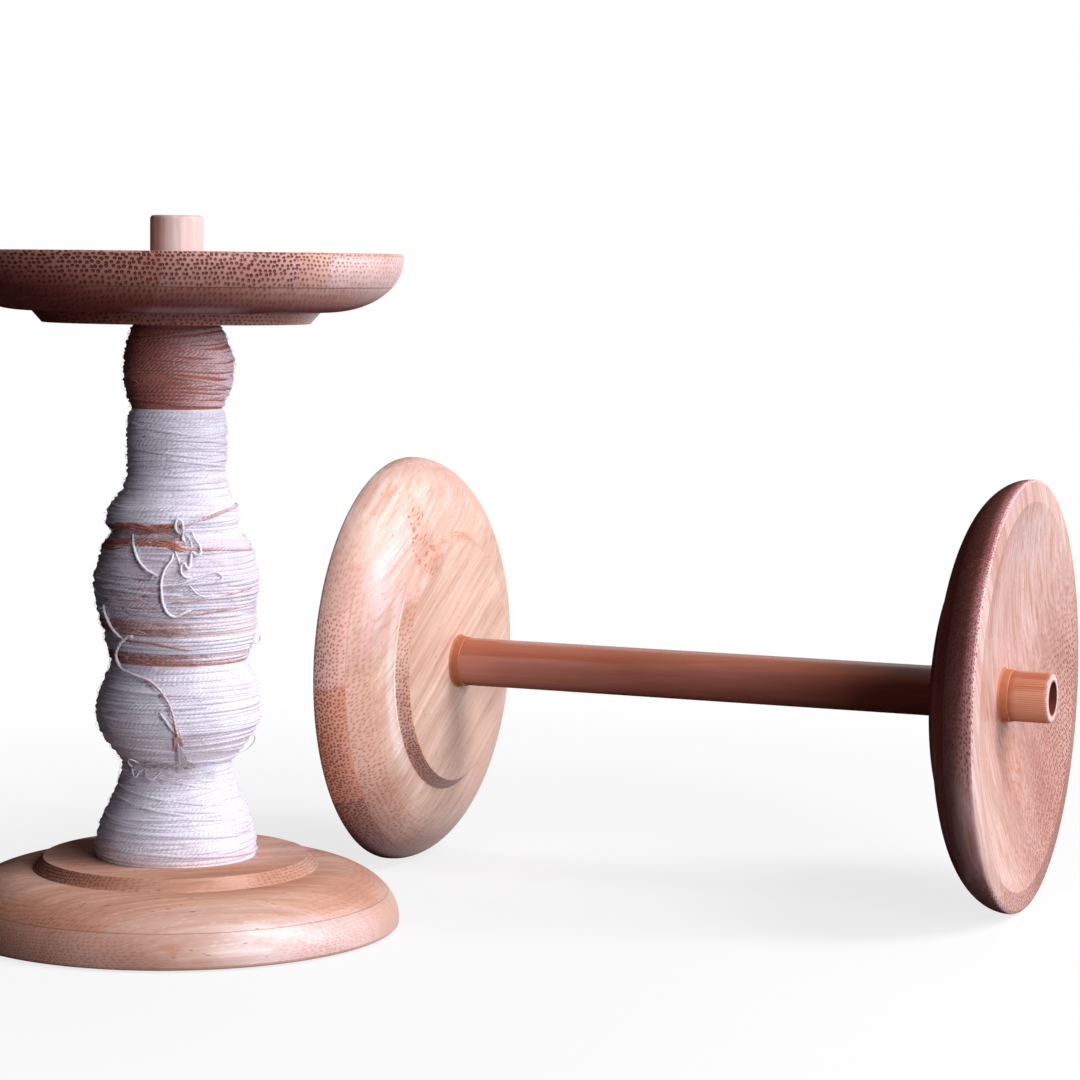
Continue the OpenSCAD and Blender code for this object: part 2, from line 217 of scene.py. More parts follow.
def finish_strand_mesh(obj, strands, sides):
    """Gives each vertex of a converted strand curve its place on the strand and its dye."""
    along, dye = [], []
    for s in strands:
        steps = np.linalg.norm(np.diff(s["points"], axis=0), axis=1)
        along.append(np.repeat(np.concatenate([[0], np.cumsum(steps)]), sides))
        dye.append(np.repeat(s["dye"], sides))
    along, dye = np.concatenate(along), np.concatenate(dye)
    if len(along) != len(obj.data.vertices):
        raise ValueError(f"{obj.name}: {len(obj.data.vertices)} vertices for {len(along)} places")
    turn = 2 * math.pi * (np.arange(len(along)) % sides) / sides
    for name, values in (("along", along), ("round_cos", np.cos(turn)), ("round_sin", np.sin(turn)), ("dye", dye)):
        obj.data.attributes.new(name, "FLOAT", "POINT").data.foreach_set("value", values.astype(np.float32))


def strand_piece(name, strands, thickness=YARN, sides=8):
    """A mesh of all these strands, as one piece."""
    curve = bpy.data.curves.new(name, "CURVE")
    curve.dimensions, curve.twist_mode = "3D", "Z_UP"
    curve.bevel_depth, curve.bevel_resolution = thickness / 2 * MM, (sides - 4) // 2
    for s in strands:
        spline = curve.splines.new("POLY")
        spline.points.add(len(s["points"]) - 1)
        place = np.concatenate([s["points"] * MM, np.ones((len(s["points"]), 1))], axis=1)
        spline.points.foreach_set("co", place.astype(np.float32).ravel())
        spline.points.foreach_set("radius", np.asarray(s["thick"], np.float32))
    obj = bpy.data.objects.new(name, curve)
    bpy.context.scene.collection.objects.link(obj)
    obj.select_set(True)
    bpy.context.view_layer.objects.active = obj
    bpy.ops.object.convert(target="MESH")
    finish_strand_mesh(obj, strands, sides)
    bpy.ops.object.mode_set(mode="EDIT")
    bpy.ops.mesh.select_all(action="SELECT")
    bpy.ops.mesh.fill_holes(sides=sides)  # the cut ends
    bpy.ops.object.mode_set(mode="OBJECT")
    bpy.ops.object.shade_smooth()
    bpy.ops.object.select_all(action="DESELECT")
    return obj


# %% [markdown]
# ## The free end of the yarn
#
# One pale end of yarn has come off the winding. It leaves the blush band, hangs over the waist
# of the winding in a soft bow and comes to rest on the hip below, where it frays out. It is
# 34 mm long in all, and its whole length shows. A cord is limp here, so it lies on what is
# under it nearly everywhere, less than a millimetre clear of the strands.

# %% Make the free end
LOOSE = 0.8
LOOSE_GAP = 0.45
TAIL_ROUTE = [  # angle in degrees, height and lift in millimetres
    (-96, 66.5, 0), (-101, 66, 0.3), (-106, 65, 0.5), (-111, 63.5, 0.6), (-114, 61.5, 0.6), (-113, 59.5, 0.5),
    (-108, 58, 0.4), (-101, 57.5, 0.3), (-94, 57, 0.2), (-86, 56.5, 0.2), (-79, 55.5, 0.2), (-73, 54, 0.2),
    (-68, 52, 0.2), (-65, 50, 0.2), (-63, 47.5, 0.2), (-61, 45, 0.2),
]


def loose_route(route, steps=3, thickness=LOOSE, gap=LOOSE_GAP):
    """The smoothed points of a loose strand that rests on the winding."""
    angle, z, lift = np.array(route, float).T
    return smoothed(on_winding(angle, z, gap + thickness / 2 + lift), steps)


tail_line = loose_route(TAIL_ROUTE)
tail_along = np.linspace(0, 1, len(tail_line))
yarn_end = strand_piece(
    "yarn_end", [strand(tail_line, 1.0 - 0.25 * tail_along, 0.05 + 0.5 * np.clip(tail_along * 2 - 0.9, 0, 1))], LOOSE
)
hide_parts("yarn_tail")
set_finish(yarn_end, "yarn_blush")
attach(yarn_end, "wound_bobbin")

# %% [markdown]
# ## The windings
#
# Each colour is wound as one long strand that climbs a yarn's width with every turn. Real turns
# are never even: they sway together, each one strays a little on its own, some sink in, and a
# few cross over the rest at a slant. All of that comes from seeded noise, so every run gives
# the same winding. Under the turns lies a turned core in the same colour, which closes the
# gaps. It is made as on a lathe, by extruding a ring along its outline.

# %% Wind the turns
TURN_STEP = 6.0  # degrees between two points of a turn
BACK = 119.2  # the angle that faces away from the camera, where a strand starts and ends


def wound(rng, low, high, lead=0.86, sway=0.35, stray=0.16, sunk=0.12, dye=0.0, thick=1.0):
    """One strand that climbs from low to high in even turns, as hand-wound yarn does."""
    angle = np.arange(0, (high - low) / lead * 360, TURN_STEP)
    z = low + (high - low) * angle / angle[-1]
    waves = rng.uniform(0, 2 * math.pi, 3)
    turn = np.radians(angle)
    edge = np.clip(np.minimum(z - low, high - z) / 2.5, 0, 1)
    z = z + edge * sway * sum(np.sin((k + 1) * turn + waves[k] + z / 7) / (k + 1.5) for k in range(3))
    z = z + 0.16 * edge * np.sin(2 * math.pi * z / 3.4 + 1.3 * np.sin(turn + waves[0]))  # turns bunch together
    z = np.clip(z + stray * drift(rng, angle, 55), low, high)
    deep = 0.10 * drift(rng, angle, 70) - 0.36 * (drift(rng, angle, 210) > 1 - 2 * sunk)
    deep = np.convolve(np.pad(deep, 3, mode="edge"), np.ones(7) / 7, mode="valid")
    width = thick * (1 + 0.15 * drift(rng, angle, 40) + 0.5 * np.clip(drift(rng, angle, 80) - 0.72, 0, 1))
    points = on_winding(angle + BACK, z, -YARN / 2 - 0.16 + deep)
    return strand(points, width, dye)


def crossing(rng, low, high, count, climb=(1.5, 6.0), dye=0.0, thick=0.9):
    """Strands that cross over the turns at a slant and dive back under them at both ends."""
    found = []
    for _ in range(count):
        span, start = rng.uniform(70, 250), rng.uniform(0, 360)
        rise = rng.uniform(*climb) * rng.choice([-1, 1, 1]) * span / 200
        first = rng.uniform(low, high)
        last = float(np.clip(first + rise, low, high))
        t = np.linspace(0, 1, max(8, int(span / TURN_STEP)))
        z = first + (last - first) * (0.5 - 0.5 * np.cos(math.pi * t)) * 0.4 + (last - first) * 0.6 * t
        lift = 0.62 * (1 - np.abs(2 * t - 1) ** 6) - 0.95 + 0.08 * drift(rng, t * span, 50)
        found.append(strand(on_winding(start + span * t, z, lift), thick * (1 + 0.1 * drift(rng, t * span, 40)), dye))
    return found


# %% Turn the cores
CORE_SIDES = 72
CORE_SINK = 0.38


def turned_core(name, low, high):
    """A ring under the turns, extruded upwards along the winding's outline and closed round the tube."""
    heights = np.linspace(low, high, max(3, int((high - low) / 1.4) + 2))
    bore = TUBE_RADIUS + TUBE_GAP
    outline = [(*off_axis(z), z, float(wound_radius(z)) - CORE_SINK) for z in heights]
    outline += [(0, 0, high, bore), (0, 0, low, bore)]
    x, y, z, radius = outline[0]
    bpy.ops.mesh.primitive_circle_add(vertices=CORE_SIDES, radius=radius * MM, location=(x * MM, y * MM, z * MM))
    core = bpy.context.object
    core.name = name
    bpy.ops.object.transform_apply(location=True, rotation=True, scale=True)
    bpy.ops.object.mode_set(mode="EDIT")
    bpy.ops.mesh.select_all(action="SELECT")
    for new_x, new_y, new_z, new_radius in [*outline[1:], outline[0]]:
        move = ((new_x - x) * MM, (new_y - y) * MM, (new_z - z) * MM)
        bpy.ops.mesh.extrude_region_move(TRANSFORM_OT_translate={"value": move})
        share = new_radius / radius
        bpy.ops.transform.resize(value=(share, share, 1), center_override=(new_x * MM, new_y * MM, new_z * MM))
        x, y, z, radius = new_x, new_y, new_z, new_radius
    bpy.ops.mesh.select_all(action="SELECT")
    bpy.ops.mesh.remove_doubles(threshold=0.00001)
    bpy.ops.mesh.normals_make_consistent(inside=False)
    bpy.ops.object.mode_set(mode="OBJECT")
    bpy.ops.object.select_all(action="DESELECT")
    return core


def join_into(name, first, *others):
    """Joins the others into the first piece and names it."""
    for obj in (first, *others):
        obj.select_set(True)
    bpy.context.view_layer.objects.active = first
    bpy.ops.object.join()
    first.name = name
    bpy.ops.object.select_all(action="DESELECT")
    return first


def winding_piece(name, low, high, strands, slot, nodes, core_dye=0.0):
    """A core and the strands over it, in the place of these CAD nodes."""
    turns = strand_piece(name + "_strands", strands)
    core = turned_core(name + "_core", low, high)
    for attribute in ("along", "round_cos", "round_sin", "dye"):
        values = np.full(len(core.data.vertices), core_dye if attribute == "dye" else 0, np.float32)
        core.data.attributes.new(attribute, "FLOAT", "POINT").data.foreach_set("value", values)
    piece = join_into(name, turns, core)
    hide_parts(*nodes)
    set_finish(piece, slot)
    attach(piece, "wound_bobbin")
    print(f"{name}: {len(strands)} strands, {sum(len(p.vertices) - 2 for p in piece.data.polygons)} triangles")


# %% [markdown]
# ### White foot and hip
#
# The foot is the oldest and untidiest part: it spreads onto the step of the flange, and many
# slanted strands cross it below the waist. The hip above it is wound evenly.

# %% Wind the foot and the hip
rng = np.random.default_rng(11)
foot_strands = [wound(rng, STEP_TOP + 0.55, FOOT_TOP - 0.4, lead=0.9, stray=0.26)]
foot_strands += crossing(rng, STEP_TOP + 0.8, 24, 12, climb=(1, 4))
foot_strands += crossing(rng, 24, FOOT_TOP - 0.6, 34, climb=(2, 9), thick=0.8)
for s in foot_strands:  # the lowest turns are a little pink
    s["dye"] = 0.24 * np.clip((19.4 - s["points"][:, 2]) / 2.2, 0, 1)
winding_piece("foot_winding", STEP_TOP + 0.05, FOOT_TOP, foot_strands, "yarn_white", ["white_foot", "foot_turns"])

rng = np.random.default_rng(12)
hip_strands = [wound(rng, FOOT_TOP + 0.3, 59.2)]
hip_strands += crossing(rng, FOOT_TOP + 0.5, 46, 18, climb=(1, 5))
hip_strands += crossing(rng, 45, 59, 14, climb=(0.8, 2.5))
winding_piece("hip_winding", FOOT_TOP, HIP_TOP, hip_strands, "yarn_white", ["white_hip", "hip_turns"])

# %% [markdown]
# ### The coloured bands at the waist
#
# A thin rust band, a white one and a blush one lie in the waist. The blush yarn is rust on the
# shaded side of the bobbin and nearly white on the lit side, partly from uneven dye and partly as
# painted light carried in its dye value. The rust band pales towards the lit side in the same way.

# %% Wind the bands
FRONT = -60.8  # the angle that faces the camera


def angles_of(s):
    """The angle in degrees of each point of a strand."""
    return np.degrees(np.arctan2(s["points"][:, 1], s["points"][:, 0]))


def dye_and_painted_light_by_angle(strands, full, none, least, most):
    """Sets the dye from most at the angle full to least at the angle none, in degrees; the calls use it to paint the
    lit side paler.
    """
    for s in strands:
        away = np.abs((angles_of(s) - full + 180) % 360 - 180) / abs(none - full)
        s["dye"] = most + (least - most) * np.clip(away, 0, 1) ** 1.5
    return strands


rng = np.random.default_rng(13)
rust_strands = [wound(rng, 59.9, 61.9, lead=0.7, sway=0.1, stray=0.1, sunk=0, thick=0.85)]
# paler towards the lit side: partly uneven dye, partly painted light
rust_strands = dye_and_painted_light_by_angle(rust_strands, FRONT - 80, FRONT + 35, 0.45, 1.0)
for s in rust_strands:  # the middle turn is white on the bright side
    bright = np.clip((angles_of(s) - FRONT + 10) / 30, 0, 1) * (np.abs(s["points"][:, 2] - 60.9) < 0.4)
    s["dye"] = s["dye"] * (1 - 0.95 * bright)
winding_piece(
    "rust_band_winding", HIP_TOP, RUST_TOP, rust_strands, "yarn_terracotta", ["rust_band", "rust_band_turns"], 0.9
)

rng = np.random.default_rng(14)
mid_strands = [wound(rng, 62.4, 65.9, lead=0.88, sway=0.2, stray=0.12, sunk=0)]
mid_strands += crossing(rng, 62.5, 65.8, 5, climb=(1, 3))
RUST_THREAD = [(-112, 65.1), (-96, 65.0), (-85, 64.9), (-73, 64.4), (-62, 63.7), (-50, 63.0)]  # angle and height
angle, z = smoothed(RUST_THREAD, 5).T
mid_strands.append(strand(on_winding(angle, z, -0.05 - 0.5 * np.linspace(-1, 1, len(angle)) ** 6), 0.5, 0.85))
winding_piece("middle_band_winding", RUST_TOP, MIDDLE_TOP, mid_strands, "yarn_white", ["white_mid_band"])

rng = np.random.default_rng(15)
blush_strands = [wound(rng, 66.5, 69.6, lead=0.76, sway=0.2, stray=0.14, sunk=0, thick=0.85)]
blush_strands += crossing(rng, 66.6, 69.5, 7, climb=(0.8, 2.2), thick=0.75)
# rust on the shaded side, nearly white on the lit side: partly uneven dye, partly painted light
blush_strands = dye_and_painted_light_by_angle(blush_strands, FRONT - 78, FRONT + 8, 0.16, 1.0)
winding_piece("blush_band_winding", MIDDLE_TOP, BLUSH_TOP, blush_strands, "yarn_blush", ["blush_band"], 0.4)

# %% [markdown]
# ### White belly, shoulder and neck
#
# These are the same white cotton. Thin rust threads lie in the belly, and two rust strands
# cross the shoulder. Each of the two is seven thin, wavy strands side by side at the left, and
# a single thicker one at the right.

# %% Wind the belly, the shoulder and the neck
THIN_RUST = [  # angle and height
    ((-122, 74.0), (-111, 74.2), (-99, 74.2), (-86, 74.2)),
    ((-66, 73.8), (-52, 74.2), (-34, 74.8), (-18, 75.6), (8, 76.4)),
    ((-64, 71.0), (-51, 71.1), (-38, 71.6), (-23, 72.0), (5, 72.3)),
    ((-106, 79.6), (-96, 79.3), (-84, 79.0), (-74, 79.2)),
    ((-112, 77.4), (-98, 76.9), (-85, 76.8), (-72, 76.4)),
    ((-88, 75.0), (-77, 75.3), (-66, 75.0)),
    ((-96, 72.3), (-84, 72.6), (-70, 72.4)),
]
rng = np.random.default_rng(16)
belly_strands = [wound(rng, 70.1, 87.8)]
belly_strands += crossing(rng, 70.5, 87, 24, climb=(0.8, 3.5))
for route in THIN_RUST:
    angle, z = smoothed(route, 6).T
    along = angle - angle[0]
    z = z + 0.12 * drift(rng, along, 6)
    lift = -0.24 + 0.08 * drift(rng, along, 4) - 0.4 * np.linspace(-1, 1, len(angle)) ** 6
    belly_strands.append(strand(on_winding(angle, z, lift), 0.45, 0.62 + 0.3 * drift(rng, along, 5)))
winding_piece("belly_winding", BLUSH_TOP, BELLY_TOP, belly_strands, "yarn_white", ["white_belly", "belly_turns"])

rng = np.random.default_rng(17)
shoulder_strands = [wound(rng, 88.5, 97.4, stray=0.12)]
shoulder_strands += crossing(rng, 89, 97, 12, climb=(1, 4))
winding_piece("shoulder_winding", BELLY_TOP, SHOULDER_TOP, shoulder_strands, "yarn_white", ["white_shoulder"])

rng = np.random.default_rng(18)
neck_strands = [wound(rng, 97.8, 115.2)]
neck_strands += crossing(rng, 98.5, 114.5, 24, climb=(1, 5))
winding_piece("neck_winding", SHOULDER_TOP, NECK_TOP, neck_strands, "yarn_white", ["white_neck", "neck_turns"])

# %% Lay the rust strands over the shoulder
SHOULDER_STRANDS = [  # angle and height
    [(-170, 88.5), (-125, 89.6), (-101, 90.1), (-78, 89.7), (-54, 90.5), (-30, 92.0), (-10, 93.1), (30, 94.0),
     (70, 93.5)],
    [(-175, 84.5), (-150, 85.2), (-125, 85.6), (-100, 86.6), (-78, 86.7), (-54, 85.5), (-28, 85.2), (-2, 84.9),
     (40, 84.0)],
]
rng = np.random.default_rng(19)
over_shoulder = []
for route in SHOULDER_STRANDS:
    angle, z = smoothed(route, 8).T
    along = angle - angle[0]
    ends = np.linspace(-1, 1, len(angle)) ** 8
    spread = np.clip((-48 - angle) / 14, 0, 1)
    for side in (-0.75, -0.45, -0.15, 0.0, 0.2, 0.5, 0.75):
        keep = slice(None) if side == 0 else angle < -50
        sway = 0.3 * spread * drift(rng, along, 11) + 0.12 * drift(rng, along, 25)
        lift = 0.1 + 0.12 * drift(rng, along, 8) - 0.9 * ends - 0.12 * abs(side) - 0.8 * (1 - spread) * (side != 0)
        place = on_winding(angle, z + side * spread + sway, lift)
        dye = 0.5 + 0.45 * np.clip((-50 - angle) / 12, 0, 1) + 0.2 * drift(rng, along, 9)
        thick = 0.42 + 0.34 * (1 - spread) + 0.14 * spread * drift(rng, along, 7)
        over_shoulder.append(strand(place[keep], thick[keep], np.clip(dye[keep], 0, 1)))
rust_strand = strand_piece("shoulder_strands", over_shoulder)
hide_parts("rust_strand")
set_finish(rust_strand, "yarn_terracotta")
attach(rust_strand, "wound_bobbin")
print("shoulder strands:", len(over_shoulder))

# %% [markdown]
# ### The terracotta cop
#
# The last yarn that was spun sits at the top, in a tight little cop. Its turns cross a lot.

# %% Wind the cop
rng = np.random.default_rng(20)
cop_strands = [wound(rng, 115.7, 133.6, lead=0.8, stray=0.2, sway=0.5, sunk=0.16, dye=1.0, thick=0.92)]
cop_strands += crossing(rng, 116, 133, 34, climb=(1.5, 6), dye=1.0, thick=0.82)
# painted light: the cop is terracotta all round, and its dye falls towards the lit side to paint it paler
cop_strands = dye_and_painted_light_by_angle(cop_strands, FRONT - 50, FRONT + 75, 0.18, 1.0)
winding_piece(
    "cop_winding", NECK_TOP, WINDING_TOP - 0.05, cop_strands, "yarn_terracotta", ["terracotta_cop", "cop_turns"], 1.0
)

# %% [markdown]
# ### Loose loops, frays and fluff
#
# Handspun yarn sheds. A few loops have sprung out of the winding, each held at both ends, and
# finer ends lie among them. Short fibres stand off everywhere, and off the loops too. They
# soften the outline, which a bare tube never does.

# %% Make the loose loops
LOOP = 0.6
LOOP_ROUTES = [  # angle in degrees, height and lift in millimetres
    [(-102, 88.3, -0.3), (-97, 85.9, 0.1), (-90, 83.1, 0.1), (-83, 81.1, 0.1), (-78, 80.3, 0), (-74, 79.7, -0.3)],
    [(-64, 84.5, -0.3), (-65, 83, 0.1), (-69, 81.2, 0.2), (-71, 78.8, 0.2), (-71, 76.4, 0.2), (-70, 74, 0.2),
     (-67, 71.8, 0.2), (-62, 70.9, 0.1), (-56, 71.7, 0), (-51, 72.2, -0.3)],
    [(-45, 89, -0.3), (-46, 87.3, 0.2), (-44, 85.8, 0.5), (-44, 84.4, 0.7), (-47, 84, 0.5), (-50, 84.7, 0.3),
     (-51, 83.6, 0.1), (-52, 81.8, 0.2), (-54, 81.2, 0.5), (-56, 82.3, 0.7), (-58, 81.7, 0.5), (-58, 80.4, 0.3),
     (-55, 79.5, 0.1), (-51, 79.6, -0.3)],
    [(-55, 87, -0.3), (-55, 88.2, 0.3), (-58, 89.8, 0.8), (-59, 91.0, 1.1), (-57, 91.7, 1.2), (-54, 91.3, 1.2),
     (-53, 90.3, 1.0), (-54, 88.7, 0.6), (-56, 87.2, -0.1)],
    [(-123, 72.5, -0.3), (-122, 71.4, 0.1), (-120, 69.3, 0.2), (-116, 67.6, 0.3), (-111, 65.8, 0.2),
     (-107, 64.7, -0.2)],
    [(-74, 50, -0.3), (-70, 48.4, 0.1), (-64, 46, 0.1), (-60, 44.6, -0.3)],
]
FINE_ROUTES = [
    [(-51, 88.4, -0.4), (-50, 86.7, 0.3), (-50, 85.2, -0.3)],
    [(-63, 85.5, -0.4), (-61, 83.9, 0.2), (-59, 82.2, -0.3)],
    [(-78, 77.4, -0.4), (-75, 77.6, 0), (-66, 77.8, 0), (-58, 78.1, 0), (-51, 78.8, 0), (-43, 79.6, 0.1),
     (-35, 80.5, -0.03), (-30, 79.8, -0.02), (-29, 78.9, -0.02), (-34, 78.2, -0.1)],
    [(-53, 78.1, -0.4), (-48, 76.1, 0.1), (-42, 75.2, 0.1), (-35, 75.6, -0.3)],
    [(-103, 37.2, -0.3), (-103, 38.6, 0.4), (-107, 39.1, 0.7), (-111, 38.3, 0.8), (-111, 37.1, 0.7), (-107, 36.5, 0.5),
     (-103, 37, -0.1)],
    [(9, 64.6, -0.3), (12, 65.4, 0.4), (15, 65.2, 0.9), (17, 64.4, 1.0), (15, 63.7, 0.8), (11, 63.9, 0.1)],
    [(-114, 37.4, -0.3), (-109, 34.8, 0.5), (-104, 34.3, 0.7), (-101, 35.8, 0.3), (-97, 36.2, -0.3)],
    [(-96, 36.4, -0.3), (-92, 35.2, 0.7), (-87, 34.2, 0.9), (-82, 34.9, 0.3), (-78, 36.3, -0.2)],
    [(20, 38.5, -0.4), (24, 39.8, 0.8), (25, 41.5, 1.0), (22, 42.6, 0.5), (18, 42.8, -0.3)],
]
loop_strands = []
for route in LOOP_ROUTES:
    points = loose_route(route, 4, LOOP, -0.12)
    loop_strands.append(strand(points, 0.72 + 0.42 * np.sin(np.linspace(0.2, 2.7, len(points)))))
loops = strand_piece("loose_yarn_loops", loop_strands, LOOP)
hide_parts("loose_loops")
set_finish(loops, "yarn_white")
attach(loops, "wound_bobbin")
fine_strands = [strand(loose_route(route, 4, 0.3, -0.05), 1.0) for route in FINE_ROUTES]
fine_ends = strand_piece("fine_ends", fine_strands, 0.34, sides=6)
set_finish(fine_ends, "yarn_white")
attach(fine_ends, "wound_bobbin")
print("loops:", len(LOOP_ROUTES), "and", len(FINE_ROUTES), "fine ones")

# %% Scatter the fluff
FIBRE = 0.075


def fibre(rng, start, z, length, lean, height, low, high, dye):
    """One short fibre that starts at an angle and a height and leans off the winding."""
    t = np.linspace(0, 1, 6)
    turn = np.degrees(length / float(winding_radius(z))) * lean * (t - 0.35 * rng.uniform(-1, 1) * t**2)
    rise = rng.normal(0, 0.35) * length * t + rng.normal(0, 0.5) * t**2
    off = np.sin(math.pi * t * rng.uniform(0.45, 1.0)) * height - 0.3
    return strand(on_winding(start + turn, np.clip(z + rise, low, high), off), 1 - 0.6 * t, dye)


def fluff(rng, low, high, count, dye=0.0, angles=(0, 360), reach=(2.0, 6.0), lift=(0.1, 0.9)):
    """Short fibres between two heights and two angles."""
    return [
        fibre(rng, rng.uniform(*angles), rng.uniform(low, high), rng.uniform(*reach), rng.choice([-1, 1]),
              rng.uniform(*lift) ** 1.5, low, high, dye)
        for _ in range(count)
    ]


def fan(rng, start, end, count, spread, dye):
    """Fibres that part from start and fan out towards end, both an angle and a height."""
    fibres = []
    for _ in range(count):
        t = np.linspace(rng.uniform(0, 0.5), 1, 7)[:, None]
        aside = rng.uniform(-1, 1) * np.array([spread, spread / 6])
        angle, z = (np.array(start) * (1 - t) + (np.array(end) + aside) * t + rng.normal(0, 0.6) * t * (1 - t)).T
        t = t[:, 0]
        fibres.append(strand(on_winding(angle, z, 0.5 - 0.35 * t + 0.1 * rng.uniform(-1, 1)), 1.6 - 0.8 * t, dye))
    return fibres


def loop_fuzz(rng, count):
    """Fibres that stand off the loose loops."""
    fibres = []
    for route in LOOP_ROUTES:
        line = smoothed(route, 6)
        for angle, z, _ in line[rng.integers(0, len(line), count)]:
            fibres.append(fibre(rng, angle, z + rng.normal(0, 0.15), rng.uniform(0.8, 1.8), rng.choice([-1, 1]),
                                rng.uniform(0.6, 1.3), z - 1.2, z + 1.2, 0))
    return fibres


def fluff_piece(name, slot, fibres):
    """One piece of these fibres."""
    piece = strand_piece(name, fibres, FIBRE, sides=4)
    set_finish(piece, slot)
    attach(piece, "wound_bobbin")
    print(f"{name}: {len(fibres)} fibres")


rng = np.random.default_rng(31)
fluff_piece("white_fluff", "yarn_white", fluff(rng, STEP_TOP + 0.8, 114.8, 2300)
            + fluff(rng, 33.5, 38.5, 320, angles=(-125, -20), reach=(1.2, 3.5), lift=(0.3, 1.5))
            + fan(rng, (-61, 43.5), (-54, 37), 46, 7, 0.0) + loop_fuzz(rng, 34))
rng = np.random.default_rng(32)
fluff_piece("blush_fluff", "yarn_blush", fluff(rng, 85.3, 90.8, 620, 0.9, (-178, -54), (0.8, 3), (0.1, 0.7))
            + fluff(rng, 66.3, 69.7, 420, 0.85, (-150, -55), (0.8, 3), (0.1, 0.6))
            + fluff(rng, 59.8, 62.2, 240, 0.9, (-160, -40), (0.8, 3), (0.1, 0.5))
            + fluff(rng, 70.5, 80.5, 260, 0.7, (-125, -62), (0.8, 3), (0.05, 0.4))
            # dark rust fluff in the waist between hip and foot: partly rust fibres, partly painted shade in that gap
            + fluff(rng, 36.0, 38.2, 110, 0.95, (-96, -44), (1, 2.4), (0.2, 0.8))
            + fan(rng, (-63.5, 48.5), (-60, 42), 70, 3.6, 0.42))
rng = np.random.default_rng(33)
fluff_piece("terracotta_fluff", "yarn_terracotta", fluff(rng, 115.8, 133.0, 420, 1.0))

# %% [markdown]
# ## Shader groups
#
# A material is a formula, so the helpers let a node's outputs be added and multiplied like
# numbers, and each sign makes a Math node. Two effects are shared as groups.
#
# *Bamboo fibres* cuts through a block of bamboo. Its fibre bundles run along X as long rods in
# staggered rows, and lean out of the board more and more along their way. Where a surface cuts
# them squarely it shows dark spots with a paler heart, in a pale web. Where it runs along them it
# shows streaks and short dashes, and at a slant the spots are small and faint. A knot tangles
# the rods and leaves rust flecks. A solid pattern like this turns from spots into streaks round
# a rim by itself, which a picture or a flat noise does not.
#
# *Spun yarn* draws the twist of the plies from each vertex's place on its strand, as relief and
# as painted shade in the grooves between the plies, with hairs and bits of husk over it.

# %% Helpers for node trees
class Value:
    """A node's output. A sign between values makes a Math node, so a material reads as a formula."""

    def __init__(self, tree, socket):
        self.tree, self.socket = tree, socket

    def __add__(self, other):
        return maths("ADD", self, other)

    def __sub__(self, other):
        return maths("SUBTRACT", self, other)

    def __rsub__(self, other):
        return maths("SUBTRACT", other, self)

    def __mul__(self, other):
        return maths("MULTIPLY", self, other)

    def __truediv__(self, other):
        return maths("DIVIDE", self, other)

    def __pow__(self, other):
        return maths("POWER", self, other)

    def __gt__(self, other):
        return maths("GREATER_THAN", self, other)

    def __lt__(self, other):
        return maths("LESS_THAN", self, other)

    def __abs__(self):
        return maths("ABSOLUTE", self)


class Outputs:
    """A node's outputs, by name or number."""

    def __init__(self, tree, node):
        self.tree, self.node = tree, node

    def __getitem__(self, key):
        return Value(self.tree, self.node.outputs[key])


def tree_of(*values):
    """The node tree of the first of these that isn't a plain number or colour."""
    return next(value.tree for value in values if isinstance(value, Value))


def feed(socket, value):
    """Links a value to an input, or sets the input to a constant."""
    if isinstance(value, Value):
        value.tree.links.new(value.socket, socket)
    else:
        socket.default_value = value


def add_node(tree, kind, inputs=None, **settings):
    """Adds a shader node with these settings and inputs, and gives its outputs."""
    node = tree.nodes.new("ShaderNode" + kind)
    for name, value in settings.items():
        setattr(node, name, value)
    for key, value in (inputs or {}).items():
        feed(node.inputs[key], value)
    return Outputs(tree, node)


def maths(operation, *values, clamp=False):
    """A Math node's result."""
    return add_node(tree_of(*values), "Math", dict(enumerate(values)), operation=operation, use_clamp=clamp)[0]


def vectors(operation, *values):
    """A Vector Math node's result, which is a number for a length or a dot product."""
    result = "Value" if operation in ("LENGTH", "DOT_PRODUCT") else "Vector"
    return add_node(values[0].tree, "VectorMath", dict(enumerate(values)), operation=operation)[result]


def vector(x, y, z=0.0):
    """A vector of three values or numbers."""
    return add_node(tree_of(x, y, z), "CombineXYZ", {0: x, 1: y, 2: z})[0]


def parts(value):
    """The X, Y and Z of a vector."""
    return add_node(value.tree, "SeparateXYZ", {0: value})


def step_up(value, low, high):
    """0 at low, 1 at high and smooth between. It steps down where low is above high."""
    inputs = {"Value": value, "From Min": low, "From Max": high}
    return add_node(value.tree, "MapRange", inputs, interpolation_type="SMOOTHSTEP")["Result"]


def mixed(share, first, second, blend="MIX"):
    """A mix of two colours."""
    tree, inputs = tree_of(share, first, second), {0: share, 6: first, 7: second}
    return add_node(tree, "Mix", inputs, data_type="RGBA", blend_type=blend, clamp_factor=True)[2]


def tinted(share, color, tint):
    """A colour that is multiplied by a tint."""
    return mixed(share, color, tint, "MULTIPLY")


def mapped(place, kind="TEXTURE", **inputs):
    """A Mapping node's result."""
    return add_node(place.tree, "Mapping", {"Vector": place, **inputs}, vector_type=kind)[0]


def noise(place, scale, detail, roughness=0.5, output="Fac"):
    """A Noise Texture's value or colour."""
    inputs = {"Vector": place, "Scale": scale, "Detail": detail, "Roughness": roughness}
    return add_node(place.tree, "TexNoise", inputs)[output]


